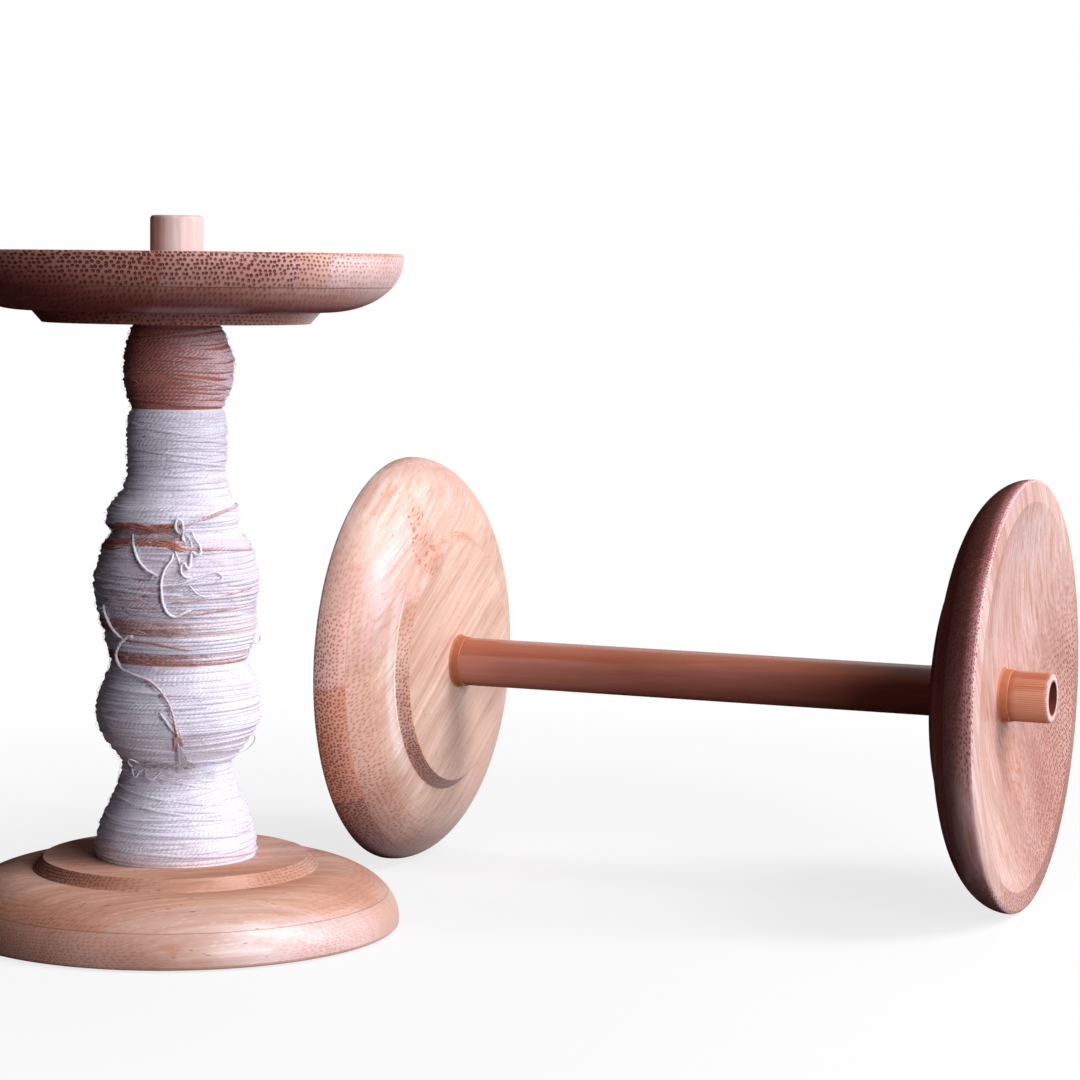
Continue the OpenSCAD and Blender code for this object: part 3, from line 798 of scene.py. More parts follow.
def new_group(name, inputs):
    """A shader group that gives a surface. Returns the group, its input values and its output sockets."""
    group = bpy.data.node_groups.new(name, "ShaderNodeTree")
    surface = [("Color", "Color"), ("Roughness", "Float"), ("Height", "Float")]
    for way, sockets in (("INPUT", inputs), ("OUTPUT", surface)):
        for label, kind, *start in sockets:
            socket = group.interface.new_socket(label, in_out=way, socket_type="NodeSocket" + kind)
            if start:
                socket.default_value = start[0]
    return group, Outputs(group, group.nodes.new("NodeGroupInput")), group.nodes.new("NodeGroupOutput").inputs


# %% Bamboo fibres
DARK = (0.075, 0.018, 0.015, 1)
OBLIQUE_END = (0.87, 0.71, 0.67, 1)  # the tone of wood that is cut at a slant
ROW = 0.87  # rows of bundles stand this share of a column apart
fibres, pin, pout = new_group("bamboo fibres", [
    ("Place", "Vector"), ("Facing", "Vector"), ("Run Out", "Vector"), ("Bend", "Vector"), ("Knot", "Vector"),
    ("Knot Size", "Vector"), ("Wood", "Color"), ("Bundle", "Color"), ("Spacing", "Float"), ("Strength", "Float"),
    ("Shift", "Float"), ("Dashes", "Float"), ("Fade", "Vector"), ("Streaks", "Float"), ("End", "Color", OBLIQUE_END),
    ("Jitter", "Float", 0.44), ("Web", "Float", 0.5), ("Slant", "Float", 0.35),
])
place, run, bend, knot, knot_size = (parts(pin[key]) for key in ("Place", "Run Out", "Bend", "Knot", "Knot Size"))
# the fibres leave the board's plane more and more along X and Y, and how far they have gone is the lean's integral
lean = maths("MAXIMUM", place[0] * bend[0] + (place[1] * bend[1] + run[2]), 0.0)
gone = lean * lean / (bend[0] * 2.0)
across = vectors("NORMALIZE", vector(1.0, run[1] * -1.0, lean * -1.0))
facing = abs(vectors("DOT_PRODUCT", pin["Facing"], across))
end_grain = step_up(facing, 0.14, 0.42)
# the knot: a slanted oval where the fibres tangle
from_knot_y = place[1] - knot[1]
from_knot_x = place[0] - knot[0] - from_knot_y * knot_size[2]
knot_far = abs(from_knot_x / knot_size[0]) ** 2.0 + abs(from_knot_y / knot_size[1]) ** 2.0
knot_mask = step_up(noise(pin["Place"], 170.0, 2.0) * 1.6 + knot_far, 1.95, 0.85) * knot[2]
# fibres wander a little along their length, and a lot at the knot
slow = mapped(pin["Place"], "POINT", Scale=(0.35, 1.0, 1.0))
wander = parts(noise(slow, 30.0, 2.0, output="Color"))
tangle = parts(noise(slow, 170.0, 1.0, output="Color"))
rods = [
    tangle[k] * knot_mask * 0.0016 + (wander[k] * 0.004 + shifted)
    for k, shifted in ((1, place[0] * run[1] + place[1]), (2, place[2] + gone))
]


def cells_of(length, width, flat=False):
    """Voronoi cells round the fibres, this long and wide, in staggered rows. Flat ones have no ends."""
    rows = rods[1] / (width * ROW)
    columns = rows * 0.5 + pin["Shift"] + rods[0] / width
    at = vector(columns, rows) if flat else vector(columns, rows, place[0] / length)
    inputs = {"Vector": at, "Scale": 1.0, "Randomness": pin["Jitter"] if flat else 1.0}
    cells = add_node(fibres, "TexVoronoi", inputs, voronoi_dimensions="2D" if flat else "3D")
    return at, cells, add_node(fibres, "SeparateColor", {0: cells["Color"]})


# a bundle's cut end: a dark spot with a paler heart off its middle, in a pale web
cells_at, cells, odd = cells_of(1.0, pin["Spacing"], flat=True)
off = parts(vectors("SUBTRACT", cells_at, cells["Position"]))
off = vector(off[1] * -0.5 + off[0], off[1] * ROW)
from_middle = vectors("LENGTH", off)
from_heart = vectors("LENGTH", vectors("SUBTRACT", off, (0.03, 0.09, 0)))
# spots are small and faint where they are cut at a slant, and where the board has fewer of them
square = maths("MAXIMUM", step_up(facing, 0.1, 0.9), pin["Slant"])
fewer = step_up(vectors("DOT_PRODUCT", pin["Place"], pin["Fade"]), 0.3, 1.2) * -0.7 + 1.0
full = square * fewer * 0.6 + 0.4
spot_size = (odd[0] * 0.06 + (pin["Strength"] * 0.13 + 0.10)) * full
spot = step_up(from_middle - spot_size, 0.06, -0.04)
spot_share = maths("MULTIPLY", spot, (odd[1] * 0.3 + 0.75) * pin["Strength"] * full, clamp=True)
spot_share = spot_share * (step_up(from_heart, 0.16, 0.07) * -0.65 + 1.0)
# tone over the board, and fine streaks where the surface runs along the fibres
wood = tinted(step_up(noise(slow, 60.0, 3.0), 0.35, 0.75), pin["Wood"], (0.80, 0.70, 0.66, 1))


def streaks(along, over, detail):
    """Noise that is drawn out along the fibres."""
    return noise(vector(place[0] * along, rods[0] * over, rods[1] * over), 1.0, detail, 0.62)


fine, broad = streaks(22.0, 900.0, 3.0), streaks(7.0, 300.0, 2.0)
along_wood = tinted(step_up(broad, 0.42, 0.68) * 0.22, wood, (0.66, 0.46, 0.36, 1))
paler = tinted(1.0, along_wood, (1.20, 1.30, 1.36, 1))
along_wood = mixed(step_up(fine, 0.50, 0.70) * 0.6 * pin["Streaks"], along_wood, paler)
along_wood = tinted(step_up(fine, 0.49, 0.32) * 0.45 * pin["Streaks"], along_wood, (0.80, 0.56, 0.40, 1))
# short dashes along the fibres, pale ones and a few dark ones
_, dash_cells, dash_odd = cells_of(0.0026, 0.00052)
dash = step_up(dash_cells["Distance"], 0.36, 0.16) * pin["Dashes"]
along_wood = tinted(dash * (dash_odd[0] > 0.55) * 0.6, along_wood, (1.14, 1.24, 1.28, 1))
along_wood = tinted(dash * (dash_odd[0] < pin["Strength"] * 0.1) * 0.5, along_wood, (0.46, 0.27, 0.20, 1))
# cut ends: deeper in tone than the wood along the fibres, with a web as pale as that
cut_wood = tinted(1.0, wood, mixed(step_up(facing, 0.40, 0.85), OBLIQUE_END, pin["End"]))
cut_wood = mixed(step_up(fine, 0.45, 0.65) * 0.25, cut_wood, wood)
cut_wood = mixed(step_up(from_middle, 0.32, 0.55) * pin["Web"], cut_wood, wood)
cut_wood = mixed(spot_share, cut_wood, pin["Bundle"])
color = mixed(end_grain, along_wood, cut_wood)
# short rust dashes in the knot
_, fleck_cells, fleck_odd = cells_of(0.0036, 0.0007)
fleck = step_up(fleck_cells["Distance"], 0.52, 0.28) * step_up(knot_mask, 0.1, 0.6) * (fleck_odd[0] < 0.5)
color = tinted(knot_mask * 0.30, color, (0.90, 0.66, 0.50, 1))
feed(pout["Color"], mixed(fleck * 0.75, color, (0.46, 0.17, 0.10, 1)))
pores = spot_share * end_grain
feed(pout["Roughness"], pores * 0.25 + (fine * 0.14 + 0.32))
feed(pout["Height"], fine * 0.3 - (pores + fleck * 0.6))
print("bamboo fibres:", len(fibres.nodes), "nodes")

# %% Spun yarn
spun, pin, pout = new_group("spun yarn", [
    ("Along", "Float"), ("Round Cos", "Float"), ("Round Sin", "Float"), ("Dye", "Float"), ("Place", "Vector"),
    ("Undyed", "Color"), ("Blush", "Color"), ("Dyed", "Color"), ("Twist", "Float"),
])
# two plies: bright where the sine of the twist plus twice the angle round the strand is high
phase = pin["Along"] / pin["Twist"] * (2 * math.pi)
double_cos = pin["Round Cos"] * pin["Round Cos"] - pin["Round Sin"] * pin["Round Sin"]
double_sin = pin["Round Cos"] * pin["Round Sin"] * 2.0
ply = (maths("SINE", phase) * double_cos + maths("COSINE", phase) * double_sin) * 0.5 + 0.5
hair = noise(pin["Place"], 2600.0, 3.0, 0.7)
dye = pin["Dye"] + (hair - 0.5) * (pin["Dye"] * 0.9)
color = mixed(step_up(dye, 0.0, 0.5), pin["Undyed"], pin["Blush"])
color = mixed(step_up(dye, 0.45, 1.0), color, pin["Dyed"])
# painted shade in a lilac tone in the grooves between the plies, and darker hairs; dyed yarn shows its twist and its
# hairs more
color = tinted(step_up(ply, 0.55, 0.0) * (pin["Dye"] * 0.45 + 0.22), color, (0.50, 0.44, 0.54, 1))
color = tinted(step_up(hair, 0.52, 0.34) * (pin["Dye"] * 0.5 + 0.28), color, (0.54, 0.48, 0.60, 1))
color = tinted(step_up(noise(pin["Place"], 120.0, 2.0), 0.42, 0.68) * 0.26, color, (0.76, 0.64, 0.66, 1))
# bits of seed and husk, far apart
bits = add_node(spun, "TexVoronoi", {"Vector": pin["Place"], "Scale": 170.0, "Randomness": 1.0})
rare = add_node(spun, "SeparateColor", {0: bits["Color"]})[0]
husk = step_up(bits["Distance"], 0.042, 0.024) * (rare > 0.6)
feed(pout["Color"], mixed(husk * 0.85, color, (0.12, 0.07, 0.05, 1)))
feed(pout["Roughness"], hair * 0.2 + 0.72)
feed(pout["Height"], ply * 0.7 + hair)
print("spun yarn:", len(spun.nodes), "nodes")

# %% [markdown]
# ## Materials
#
# Every flange is sawn from its own piece of board, so each has its own grain direction, strips
# and tone. A Mapping node of the texture kind turns the model's frame into the board's: X runs
# along the fibres, Y across the strips and Z from the rim plane into the flange.
#
# A board is painted darker on the side that its shade argument names, as painted shade, and its
# rim can have a paler lit edge, a painted highlight. Patches lie on it in rings, each on one side
# of the flange: most are painted highlights and painted shade, a few are rings of another tone.
# The lacquer is a coat over matt wood, and only on the side that the window lights. All round it
# would mirror the white surroundings and grey the dark side.

# %% Bamboo boards
RIM_PLY, FLANGE = 0.0074, 0.0156
GLUE_LINE = (0.16, 0.07, 0.05, 1)
RAW_END = (1, 1, 1, 1)


def new_material(name):
    """A material, its node tree and its Principled BSDF."""
    material = bpy.data.materials.new(name)
    material.use_nodes = True
    return material, material.node_tree, material.node_tree.nodes["Principled BSDF"]


def set_surface(shader, group, relief, **values):
    """Feeds a group's colour, roughness and relief to the shader, and sets its own constants."""
    feed(shader.inputs["Base Color"], group["Color"])
    feed(shader.inputs["Roughness"], group["Roughness"])
    if relief:
        bump = {"Height": group["Height"], "Strength": 1.0, "Distance": relief}
        feed(shader.inputs["Normal"], add_node(group.tree, "Bump", bump)[0])
    for name, value in values.items():
        shader.inputs[name.replace("_", " ")].default_value = value


def own_frame(tree, origin, x, y, z):
    """A surface's place and facing in a piece's own frame, and its facing in the model's."""
    turn = Matrix((x, y, z)).transposed().to_euler()
    at = add_node(tree, "TexCoord")
    return mapped(at["Object"], Location=origin, Rotation=turn), mapped(at["Normal"], Rotation=turn), at["Normal"]


def facing_share(normal, side, low, high):
    """How far a surface faces this side: 0 at low and 1 at high."""
    return step_up(vectors("DOT_PRODUCT", normal, side), low, high)


def strip_ramp(across, strips, line):
    """Strips of a ply by their edges in millimetres: each a tint and a bundle strength, with a glue line between."""
    share = add_node(across.tree, "MapRange", {"Value": across, "From Min": -0.05, "From Max": 0.05})[0]
    ramp = add_node(across.tree, "ValToRGB", {0: share})
    ramp.node.color_ramp.interpolation = "CONSTANT"
    elements = ramp.node.color_ramp.elements
    elements.remove(elements[1])
    for k, (edge, tint, strength) in enumerate(strips):
        at = (edge + 50) / 100
        if k:
            elements.new(at - 0.0014).color = (*(line * v for v in tint), strength)
        element = elements.new(at) if k else elements[0]
        element.position = at
        element.color = (*tint, strength)
    return ramp


def board(name, origin, grain, axis, wood, rim_strips, step_strips, painted_shade_side, end, run_out, spacing, painted_light_and_tone_patches,
          bend=(0.5, 0), knot=(0, 0, 0), knot_size=(0.01, 0.01, 0), line=0.95, seam_share=0.5, fewer=(0, 0, 0),
          coat=0.8, coat_ior=1.3, coat_rough=0.24, edge=0.0, streak=1.0, jitter=0.44, web=0.5, slant=0.35,
          bundle=DARK, dashes=1.0):
    """Bamboo board whose rim plane passes through origin, with its fibres along grain."""
    material, tree, shader = new_material(name)
    x, z = Vector(grain).normalized(), Vector(axis).normalized()
    y = z.cross(x)
    place, facing, normal = own_frame(tree, origin, x, y, z)
    local, inward = parts(place), parts(facing)[2]
    in_step = local[2] > RIM_PLY
    in_rim = 1.0 - in_step
    rim, step = strip_ramp(local[1], rim_strips, line), strip_ramp(local[1], step_strips, line)
    tint = mixed(in_step, rim["Color"], step["Color"])
    strength = in_step * step["Alpha"] + in_rim * rim["Alpha"]
    # bundles crowd and darken towards each ply's skin, which is the rim plane and the step's face
    from_skin = in_step * (FLANGE - local[2]) + in_rim * local[2]
    deep = from_skin / RIM_PLY
    crowded = from_skin * (deep * -0.25 + 1.22)
    crowded_place = vector(local[0], local[1], in_rim * crowded + in_step * (0.05 - crowded))
    fade = 1.15 - abs(deep) ** 1.5 * 0.4
    # painted shade: the wood is darker where it faces this side, away from the lamps
    side, low, high, tone = painted_shade_side
    toned = mixed(facing_share(normal, side, low, high), wood, [a * b for a, b in zip(wood, tone)])
    # painted highlight: the paler band stands in for the light on the rim's edge
    if edge:  # the lit edge of the rim is paler, down to this far from the rim plane
        on_side = step_up(abs(inward), 0.97, 0.7)
        for depth, share, tone in ((edge, 0.85, (0.80, 0.40, 0.42, 1)), (edge / 3, 0.8, (0.95, 0.78, 0.80, 1))):
            lit = step_up(local[2], depth, 0.0002) * on_side * share
            toned, end = mixed(lit, toned, tone), mixed(lit, end, (1.0, 0.86, 0.87, 1))
    flat_place = vectors("MULTIPLY", place, (1, 1, 0))
    radius, outward = vectors("LENGTH", flat_place), vectors("NORMALIZE", flat_place)
    # the patches are mostly painted highlights and painted shade, each a ring on one side of the flange, and a few are
    # rings of another tone
    for ring, half_width, towards, half_angle, share, tone in painted_light_and_tone_patches:  # on the dish's side where share is negative
        towards = Vector(towards).normalized()
        on_its_side = step_up(inward * math.copysign(1, share), -0.3, -0.1)
        in_ring = step_up(abs((radius - ring) / half_width), 1.0, 0.2)
        in_sector = facing_share(outward, (x.dot(towards), y.dot(towards), 0), math.cos(math.radians(half_angle)), 1.0)
        painted_light_and_tone = in_ring * in_sector * on_its_side * abs(share)
        toned, end = mixed(painted_light_and_tone, toned, tone), mixed(painted_light_and_tone, end, RAW_END)
    # the shift keeps one strip's or ply's bundles from lining up with the next one's
    group = add_node(tree, "Group", {
        "Place": crowded_place, "Facing": facing, "Run Out": (0, *run_out), "Bend": (*bend, 0), "Knot": knot,
        "Knot Size": knot_size, "Wood": tinted(1.0, toned, tint), "Spacing": spacing, "Strength": strength * fade,
        "Shift": strength * 7.3 + in_step * 3.7, "Fade": fewer, "End": end, "Streaks": streak, "Jitter": jitter,
        "Web": web, "Slant": slant, "Bundle": bundle, "Dashes": dashes,
    }, node_tree=fibres)
    set_surface(shader, group, 0.00010, Coat_IOR=coat_ior, Coat_Roughness=coat_rough, Specular_IOR_Level=0.0)
    feed(shader.inputs["Coat Weight"], facing_share(normal, WINDOW_SIDE, 0.15, 0.6) * coat)
    seam = step_up(abs(local[2] - RIM_PLY), 0.00016, 0.00004)
    feed(shader.inputs["Base Color"], mixed(seam * seam_share, group["Color"], GLUE_LINE))
    return material


WINDOW_SIDE = (0.9, -0.35, 0.1)
SPAN_TOP = 0.1498  # the upper flange's rim plane
LEFT_PLANE, RIGHT_PLANE = 0.0108, 0.17
AXIS_Y, AXIS_Z = 0.0956, 0.05
PLAIN, PALE, WARM, ROSE = (1, 1, 1), (1.06, 1.06, 1.05), (1.0, 0.92, 0.82), (0.97, 0.93, 0.94)


def level(degrees):
    """A direction in the plane of a flange that lies flat."""
    return (math.cos(math.radians(degrees)), math.sin(math.radians(degrees)), 0)


def upright(degrees):
    """A direction in the plane of a flange that stands on its rim."""
    return (0, math.cos(math.radians(degrees)), math.sin(math.radians(degrees)))


# A strip is its edge in millimetres, its tint and how strong its bundles are. A patch is the
# radius of its ring, half its width, where it faces and half its angle, its share and its tone.
base_board = board(
    "bamboo of the base flange", (0, 0, 0), level(FRONT - 78), (0, 0, 1), (0.66, 0.415, 0.335, 1),
    rim_strips=[(-50, PLAIN, 0.62), (-22, ROSE, 0.55), (8, PALE, 0.5), (34, PLAIN, 0.6)],
    step_strips=[(-50, WARM, 1.3), (-14, PLAIN, 1.2), (17, WARM, 1.0), (40, PLAIN, 0.8)],
    painted_shade_side=((-0.9, -0.3, 0), 0.0, 0.9, (0.84, 0.70, 0.70, 1)), end=(0.94, 0.83, 0.82, 1),
    run_out=(0.0, 0.05), spacing=0.00072, fewer=(-28, 0, 0), dashes=1.6, coat=1.0, coat_ior=1.45, coat_rough=0.34,
    painted_light_and_tone_patches=[
        # painted highlight on the rim towards the right
        (0.0485, 0.0036, level(FRONT + 36), 34, 0.6, (0.97, 0.84, 0.88, 1)),
        # painted shadow of the winding's foot on the step, at the left
        (0.022, 0.012, level(FRONT - 80), 62, 0.68, (0.44, 0.22, 0.17, 1)),
        # painted shade round the step at the left, away from the lamps
        (0.0306, 0.0016, level(FRONT - 60), 84, 0.6, (0.42, 0.20, 0.16, 1)),
    ],
)
top_board = board(
    "bamboo of the upper flange", (0, 0, SPAN_TOP), level(FRONT + 10), (0, 0, -1), (0.68, 0.40, 0.355, 1),
    # the strips grow darker towards the left, away from the lamps: partly the board's own tone, partly painted shade
    rim_strips=[(-50, PALE, 0.9), (-25.2, WARM, 0.95), (-17.3, ROSE, 1.15), (11.7, (0.86, 0.70, 0.65), 1.35)],
    step_strips=[(-50, ROSE, 0.8), (-18, (0.92, 0.84, 0.82), 1.0), (12.1, (0.82, 0.64, 0.60), 1.15)],
    painted_shade_side=((-0.55, -0.15, -0.8), 0.2, 0.8, (0.55, 0.40, 0.38, 1)), end=(0.82, 0.67, 0.64, 1),
    run_out=(0.03, 0.02), spacing=0.00106, fewer=(0, -28, 0), web=0.8, line=0.4, seam_share=0.85,
    painted_light_and_tone_patches=[
        # painted highlights on the shoulder under the rim and on the rim at the right
        (0.0378, 0.0048, level(FRONT + 4), 22, 0.75, (1.0, 0.88, 0.92, 1)),
        (0.0350, 0.003, level(FRONT + 42), 14, 0.6, (0.98, 0.82, 0.86, 1)),
        (0.0490, 0.004, level(FRONT + 62), 44, 0.5, (0.99, 0.86, 0.90, 1)),
        # painted shade on the chamfer under the flange
        (0.0306, 0.0016, level(FRONT - 10), 110, 0.75, (0.33, 0.15, 0.12, 1)),
    ],
)
left_board = board(
    "bamboo of the left flange", (LEFT_PLANE, AXIS_Y, AXIS_Z), upright(32), (1, 0, 0), (0.77, 0.535, 0.465, 1),
    rim_strips=[
        (-50, (0.84, 0.65, 0.60), 1.7), (-5.3, (1.03, 0.77, 0.63), 1.1), (24.6, (1.12, 1.05, 1.05), 0.95),
        (38, PALE, 0.6),
    ],
    step_strips=[
        (-50, (0.97, 0.92, 0.88), 1.1), (-28, (1.0, 0.98, 0.91), 1.1), (3, (1.04, 1.02, 0.95), 0.9), (27, PALE, 0.7),
    ],
    painted_shade_side=((0.1, 0, -1), 0.35, 0.95, (0.60, 0.46, 0.50, 1)), end=(1.0, 0.88, 0.86, 1), bundle=(0.23, 0.085, 0.08, 1),
    run_out=(0.0, 0.03), knot=(0.0025, 0.036, 1), knot_size=(0.0062, 0.0125, 0.27), line=0.9, seam_share=0.17,
    spacing=0.00082, fewer=(28, 0, 0), streak=1.2, jitter=0.65, coat=0.9, coat_ior=1.32, coat_rough=0.34,
    painted_light_and_tone_patches=[
        # painted highlights: a pale glow at the foot of the step, a bright line along it and a lilac sheen on the
        # shoulder
        (0.0345, 0.0028, (0, -1, -0.05), 52, 0.55, (0.98, 0.90, 0.97, 1)),
        (0.03215, 0.0005, (0, -1, 0.1), 42, 1.0, (1, 1, 1, 1)),
        (0.0415, 0.006, (0, -0.87, 0.5), 34, 0.3, (0.90, 0.80, 0.90, 1)),
        # rings of a darker, more orange tone at the top of the step and on the far side
        (0.0312, 0.0016, (0, 0.35, 0.94), 24, 0.65, (0.62, 0.34, 0.23, 1)),
        (0.040, 0.006, (0, 1, 0.25), 16, 0.5, (0.78, 0.50, 0.40, 1)),
        # painted shade on the chamfer at the front below, then a thin orange line at its inner edge
        (0.0307, 0.0015, (0, -0.6, -0.8), 66, 0.7, (0.54, 0.29, 0.26, 1)),
        (0.0294, 0.0006, (0, -0.9, -0.5), 34, 0.8, (0.85, 0.46, 0.28, 1)),
    ],
)
right_board = board(
    "bamboo of the right flange", (RIGHT_PLANE, AXIS_Y, AXIS_Z), upright(-58), (-1, 0, 0), (0.63, 0.42, 0.375, 1),
    rim_strips=[(-50, PLAIN, 0.85), (-20, ROSE, 0.8), (12, PALE, 0.8), (38, PLAIN, 0.85)],
    step_strips=[(-50, (0.85, 0.68, 0.64), 0.9), (-18, (0.82, 0.66, 0.62), 0.9), (14, (0.85, 0.68, 0.64), 0.9)],
    painted_shade_side=((-1, -0.1, 0.45), 0.05, 0.5, (0.46, 0.36, 0.36, 1)), end=(0.45, 0.28, 0.26, 1), bundle=(0.14, 0.04, 0.035, 1),
    run_out=(0.0, 0.075), bend=(16.0, -4.1), knot=(0.0135, 0.005, 1), knot_size=(0.016, 0.010, -0.2), seam_share=0.2,
    spacing=0.00072, streak=1.45, coat=0.35, jitter=0.6, web=0.1, slant=0.95, dashes=1.35, edge=0.0036,
    painted_light_and_tone_patches=[
        # painted shade at the top of the dish
        (0.037, 0.008, (0, 0.05, 1), 30, -0.3, (0.60, 0.47, 0.50, 1)),
        # a warmer orange tint below the tube
        (0.014, 0.010, (0, 0.2, -1), 34, -0.5, (0.64, 0.38, 0.29, 1)),
    ],
)
print("boards:", [m.name for m in (base_board, top_board, left_board, right_board)])

# %% [markdown]
# ### Tubes and glue
#
# The tubes are turned from bamboo rods, so their fibres run along them. The upright one is pale,
# and the empty one is reddish brown with a rust streak, and painted shade darkens it towards its
# right flange. A sawn face is pale, and a bore is painted dark as shade. The empty one's right end
# is paler than the rest, with fine ribs from the turning. Each tube is set in its flanges with
# amber glue, which shows as a thin film and a small bead.

# %% Bamboo tubes
def rod(name, origin, grain, side, wood, bundle, strength, streak, end, painted_shade_along, shine):
    """A bamboo rod along grain: a streak on the side that faces side, an end of another tone, and a stretch darkened
    with painted shade.
    """
    material, tree, shader = new_material(name)
    x, y = Vector(grain).normalized(), Vector(side).normalized()
    place, facing, normal = own_frame(tree, origin, x, y, x.cross(y))
    local = parts(place)
    ragged = noise(mapped(place, "POINT", Scale=(0.12, 3.0, 3.0)), 130.0, 3.0)
    (band_from, band_to, band_share, band_tone), (end_at, end_tone) = streak, end
    band = step_up(local[1] + (ragged * 0.006 - 0.003), band_from, band_to)
    # painted shade: along its length the rod darkens by this tint, for the shade near the right flange
    toned = tinted(step_up(local[0], 0.02, 0.15), wood, painted_shade_along)
    toned = mixed(step_up(local[0], end_at - 0.004, end_at), toned, end_tone)
    toned = mixed(band * band_share, toned, band_tone)
    group = add_node(tree, "Group", {
        "Place": place, "Facing": facing, "Run Out": (0, 0.01, 0.01), "Bend": (0.5, 0, 0),
        "Knot Size": (0.01, 0.01, 0), "Wood": toned, "Bundle": bundle, "Spacing": 0.0009, "Strength": strength,
        "Streaks": 0.45,
    }, node_tree=fibres)
    set_surface(shader, group, 0.00008, Coat_Roughness=0.25, Specular_IOR_Level=0.0)
    shine_side, low, high, coat = shine
    feed(shader.inputs["Coat Weight"], facing_share(normal, shine_side, low, high) * coat)
    # ribs along the turned end, a pale sawn face, and painted shade in the bore
    ribs = step_up(maths("SINE", ragged * 9.0 + maths("ARCTAN2", local[1], local[2]) * 70.0), 0.2, 1.0)
    color = tinted(ribs * (step_up(local[0], end_at - 0.001, end_at) * 0.5), group["Color"], (0.62, 0.40, 0.34, 1))
    color = mixed(step_up(abs(parts(facing)[0]), 0.6, 0.95) * 0.7, color, (0.88, 0.74, 0.75, 1))
    from_axis = maths("SQRT", local[1] * local[1] + local[2] * local[2])
    feed(shader.inputs["Base Color"], tinted(step_up(from_axis, 0.0045, 0.0039), color, (0.30, 0.16, 0.16, 1)))
    return material


pale_rod = rod(
    "bamboo of the upright tube", (0, 0, 0), (0, 0, 1), level(-125), (0.88, 0.74, 0.74, 1), (0.30, 0.13, 0.08, 1), 0.5,
    streak=(0.0040, 0.0060, 0.7, (0.46, 0.23, 0.15, 1)), end=(1.0, (0.8, 0.6, 0.5, 1)), painted_shade_along=(1, 1, 1, 1),
    shine=((0.9, -0.4, 0), 0.1, 0.8, 0.4),
)
red_rod = rod(
    "bamboo of the empty tube", (0, AXIS_Y, AXIS_Z), (1, 0, 0), (0, -0.55, 0.83),
    (0.55, 0.245, 0.185, 1), (0.12, 0.04, 0.025, 1), 0.8,
    streak=(0.0042, 0.0056, 0.75, (0.43, 0.125, 0.06, 1)), end=(0.169, (0.70, 0.36, 0.24, 1)),
    painted_shade_along=(0.62, 0.46, 0.42, 1), shine=((0.1, -0.15, 0.95), 0.35, 0.95, 0.6),
)
glue_material, tree, shader = new_material("amber glue")
runs = noise(add_node(tree, "TexCoord")["Object"], 900.0, 2.0)
feed(shader.inputs["Base Color"], mixed(runs, (0.40, 0.13, 0.065, 1), (0.52, 0.20, 0.10, 1)))
feed(shader.inputs["Roughness"], runs * 0.2 + 0.42)
feed(shader.inputs["Specular IOR Level"], 0.15)
feed(shader.inputs["Normal"], add_node(tree, "Bump", {"Height": runs, "Distance": 0.0001})[0])
print("rods and glue made")

# %% [markdown]
# ### Cotton
#
# All yarns share one group and differ in their colours. How much dye a strand took comes from its
# own vertices, and on the cop and the coloured bands that value also carries painted light. The
# pale cottons have a little sheen, as their fibres scatter light at grazing angles, and none has
# any gloss. The belly's white yarn gets a darker, mauve copy of the white cotton as painted shade,
# and the rust yarn is warmer than the cop's.

# %% Cotton yarns
TWIST = 1.1


def cotton(name, undyed, blush, dyed, relief=0.00014, sheen=0.1):
    """Cotton yarn in these colours. Fluff is too fine for a relief."""
    material, tree, shader = new_material(name)
    read = {
        label: add_node(tree, "Attribute", attribute_name=label.lower().replace(" ", "_"))["Fac"]
        for label in ("Along", "Round Cos", "Round Sin", "Dye")
    }
    colors = {"Undyed": undyed, "Blush": blush, "Dyed": dyed}
    place = add_node(tree, "TexCoord")["Object"]
    group = add_node(tree, "Group", {**read, **colors, "Place": place, "Twist": TWIST}, node_tree=spun)
    set_surface(shader, group, relief, Sheen_Weight=sheen, Sheen_Roughness=0.5, Specular_IOR_Level=0.0)
    return material


WHITE, BLUSH, RUST = (0.87, 0.86, 0.97, 1), (0.87, 0.66, 0.67, 1), (0.65, 0.27, 0.205, 1)
WISP_WHITE, WISP_BLUSH, WISP_RUST = (0.90, 0.89, 0.95, 1), (0.86, 0.66, 0.62, 1), (0.62, 0.30, 0.24, 1)
white_cotton = cotton("white cotton", WHITE, BLUSH, RUST)
blush_cotton = cotton("blush cotton", (0.88, 0.83, 0.89, 1), BLUSH, RUST, sheen=0.08)
# painted shade: a darker, mauve copy of the white cotton, for the belly
painted_shade_white_cotton = cotton("white cotton with painted shade", (0.79, 0.75, 0.85, 1), BLUSH, RUST, sheen=0.05)
terracotta_cotton, rust_cotton = (
    cotton(name, WHITE, blush, dyed, 0.00024, 0.0) for name, blush, dyed in (
        ("terracotta cotton", (0.90, 0.65, 0.66, 1), (0.54, 0.205, 0.16, 1)),
        ("rust cotton", (0.92, 0.73, 0.78, 1), (0.73, 0.28, 0.20, 1)),
    )
)
white_wisps = cotton("white fluff", WISP_WHITE, WISP_BLUSH, WISP_RUST, 0)
red_wisps = cotton("terracotta fluff", WISP_WHITE, (0.86, 0.60, 0.55, 1), (0.64, 0.30, 0.25, 1), 0)
sprung = cotton("sprung cotton", (0.93, 0.92, 0.97, 1), (0.88, 0.66, 0.62, 1), WISP_RUST, 0.00005)
by_slot = {"yarn_white": white_cotton, "yarn_blush": blush_cotton, "yarn_terracotta": terracotta_cotton}
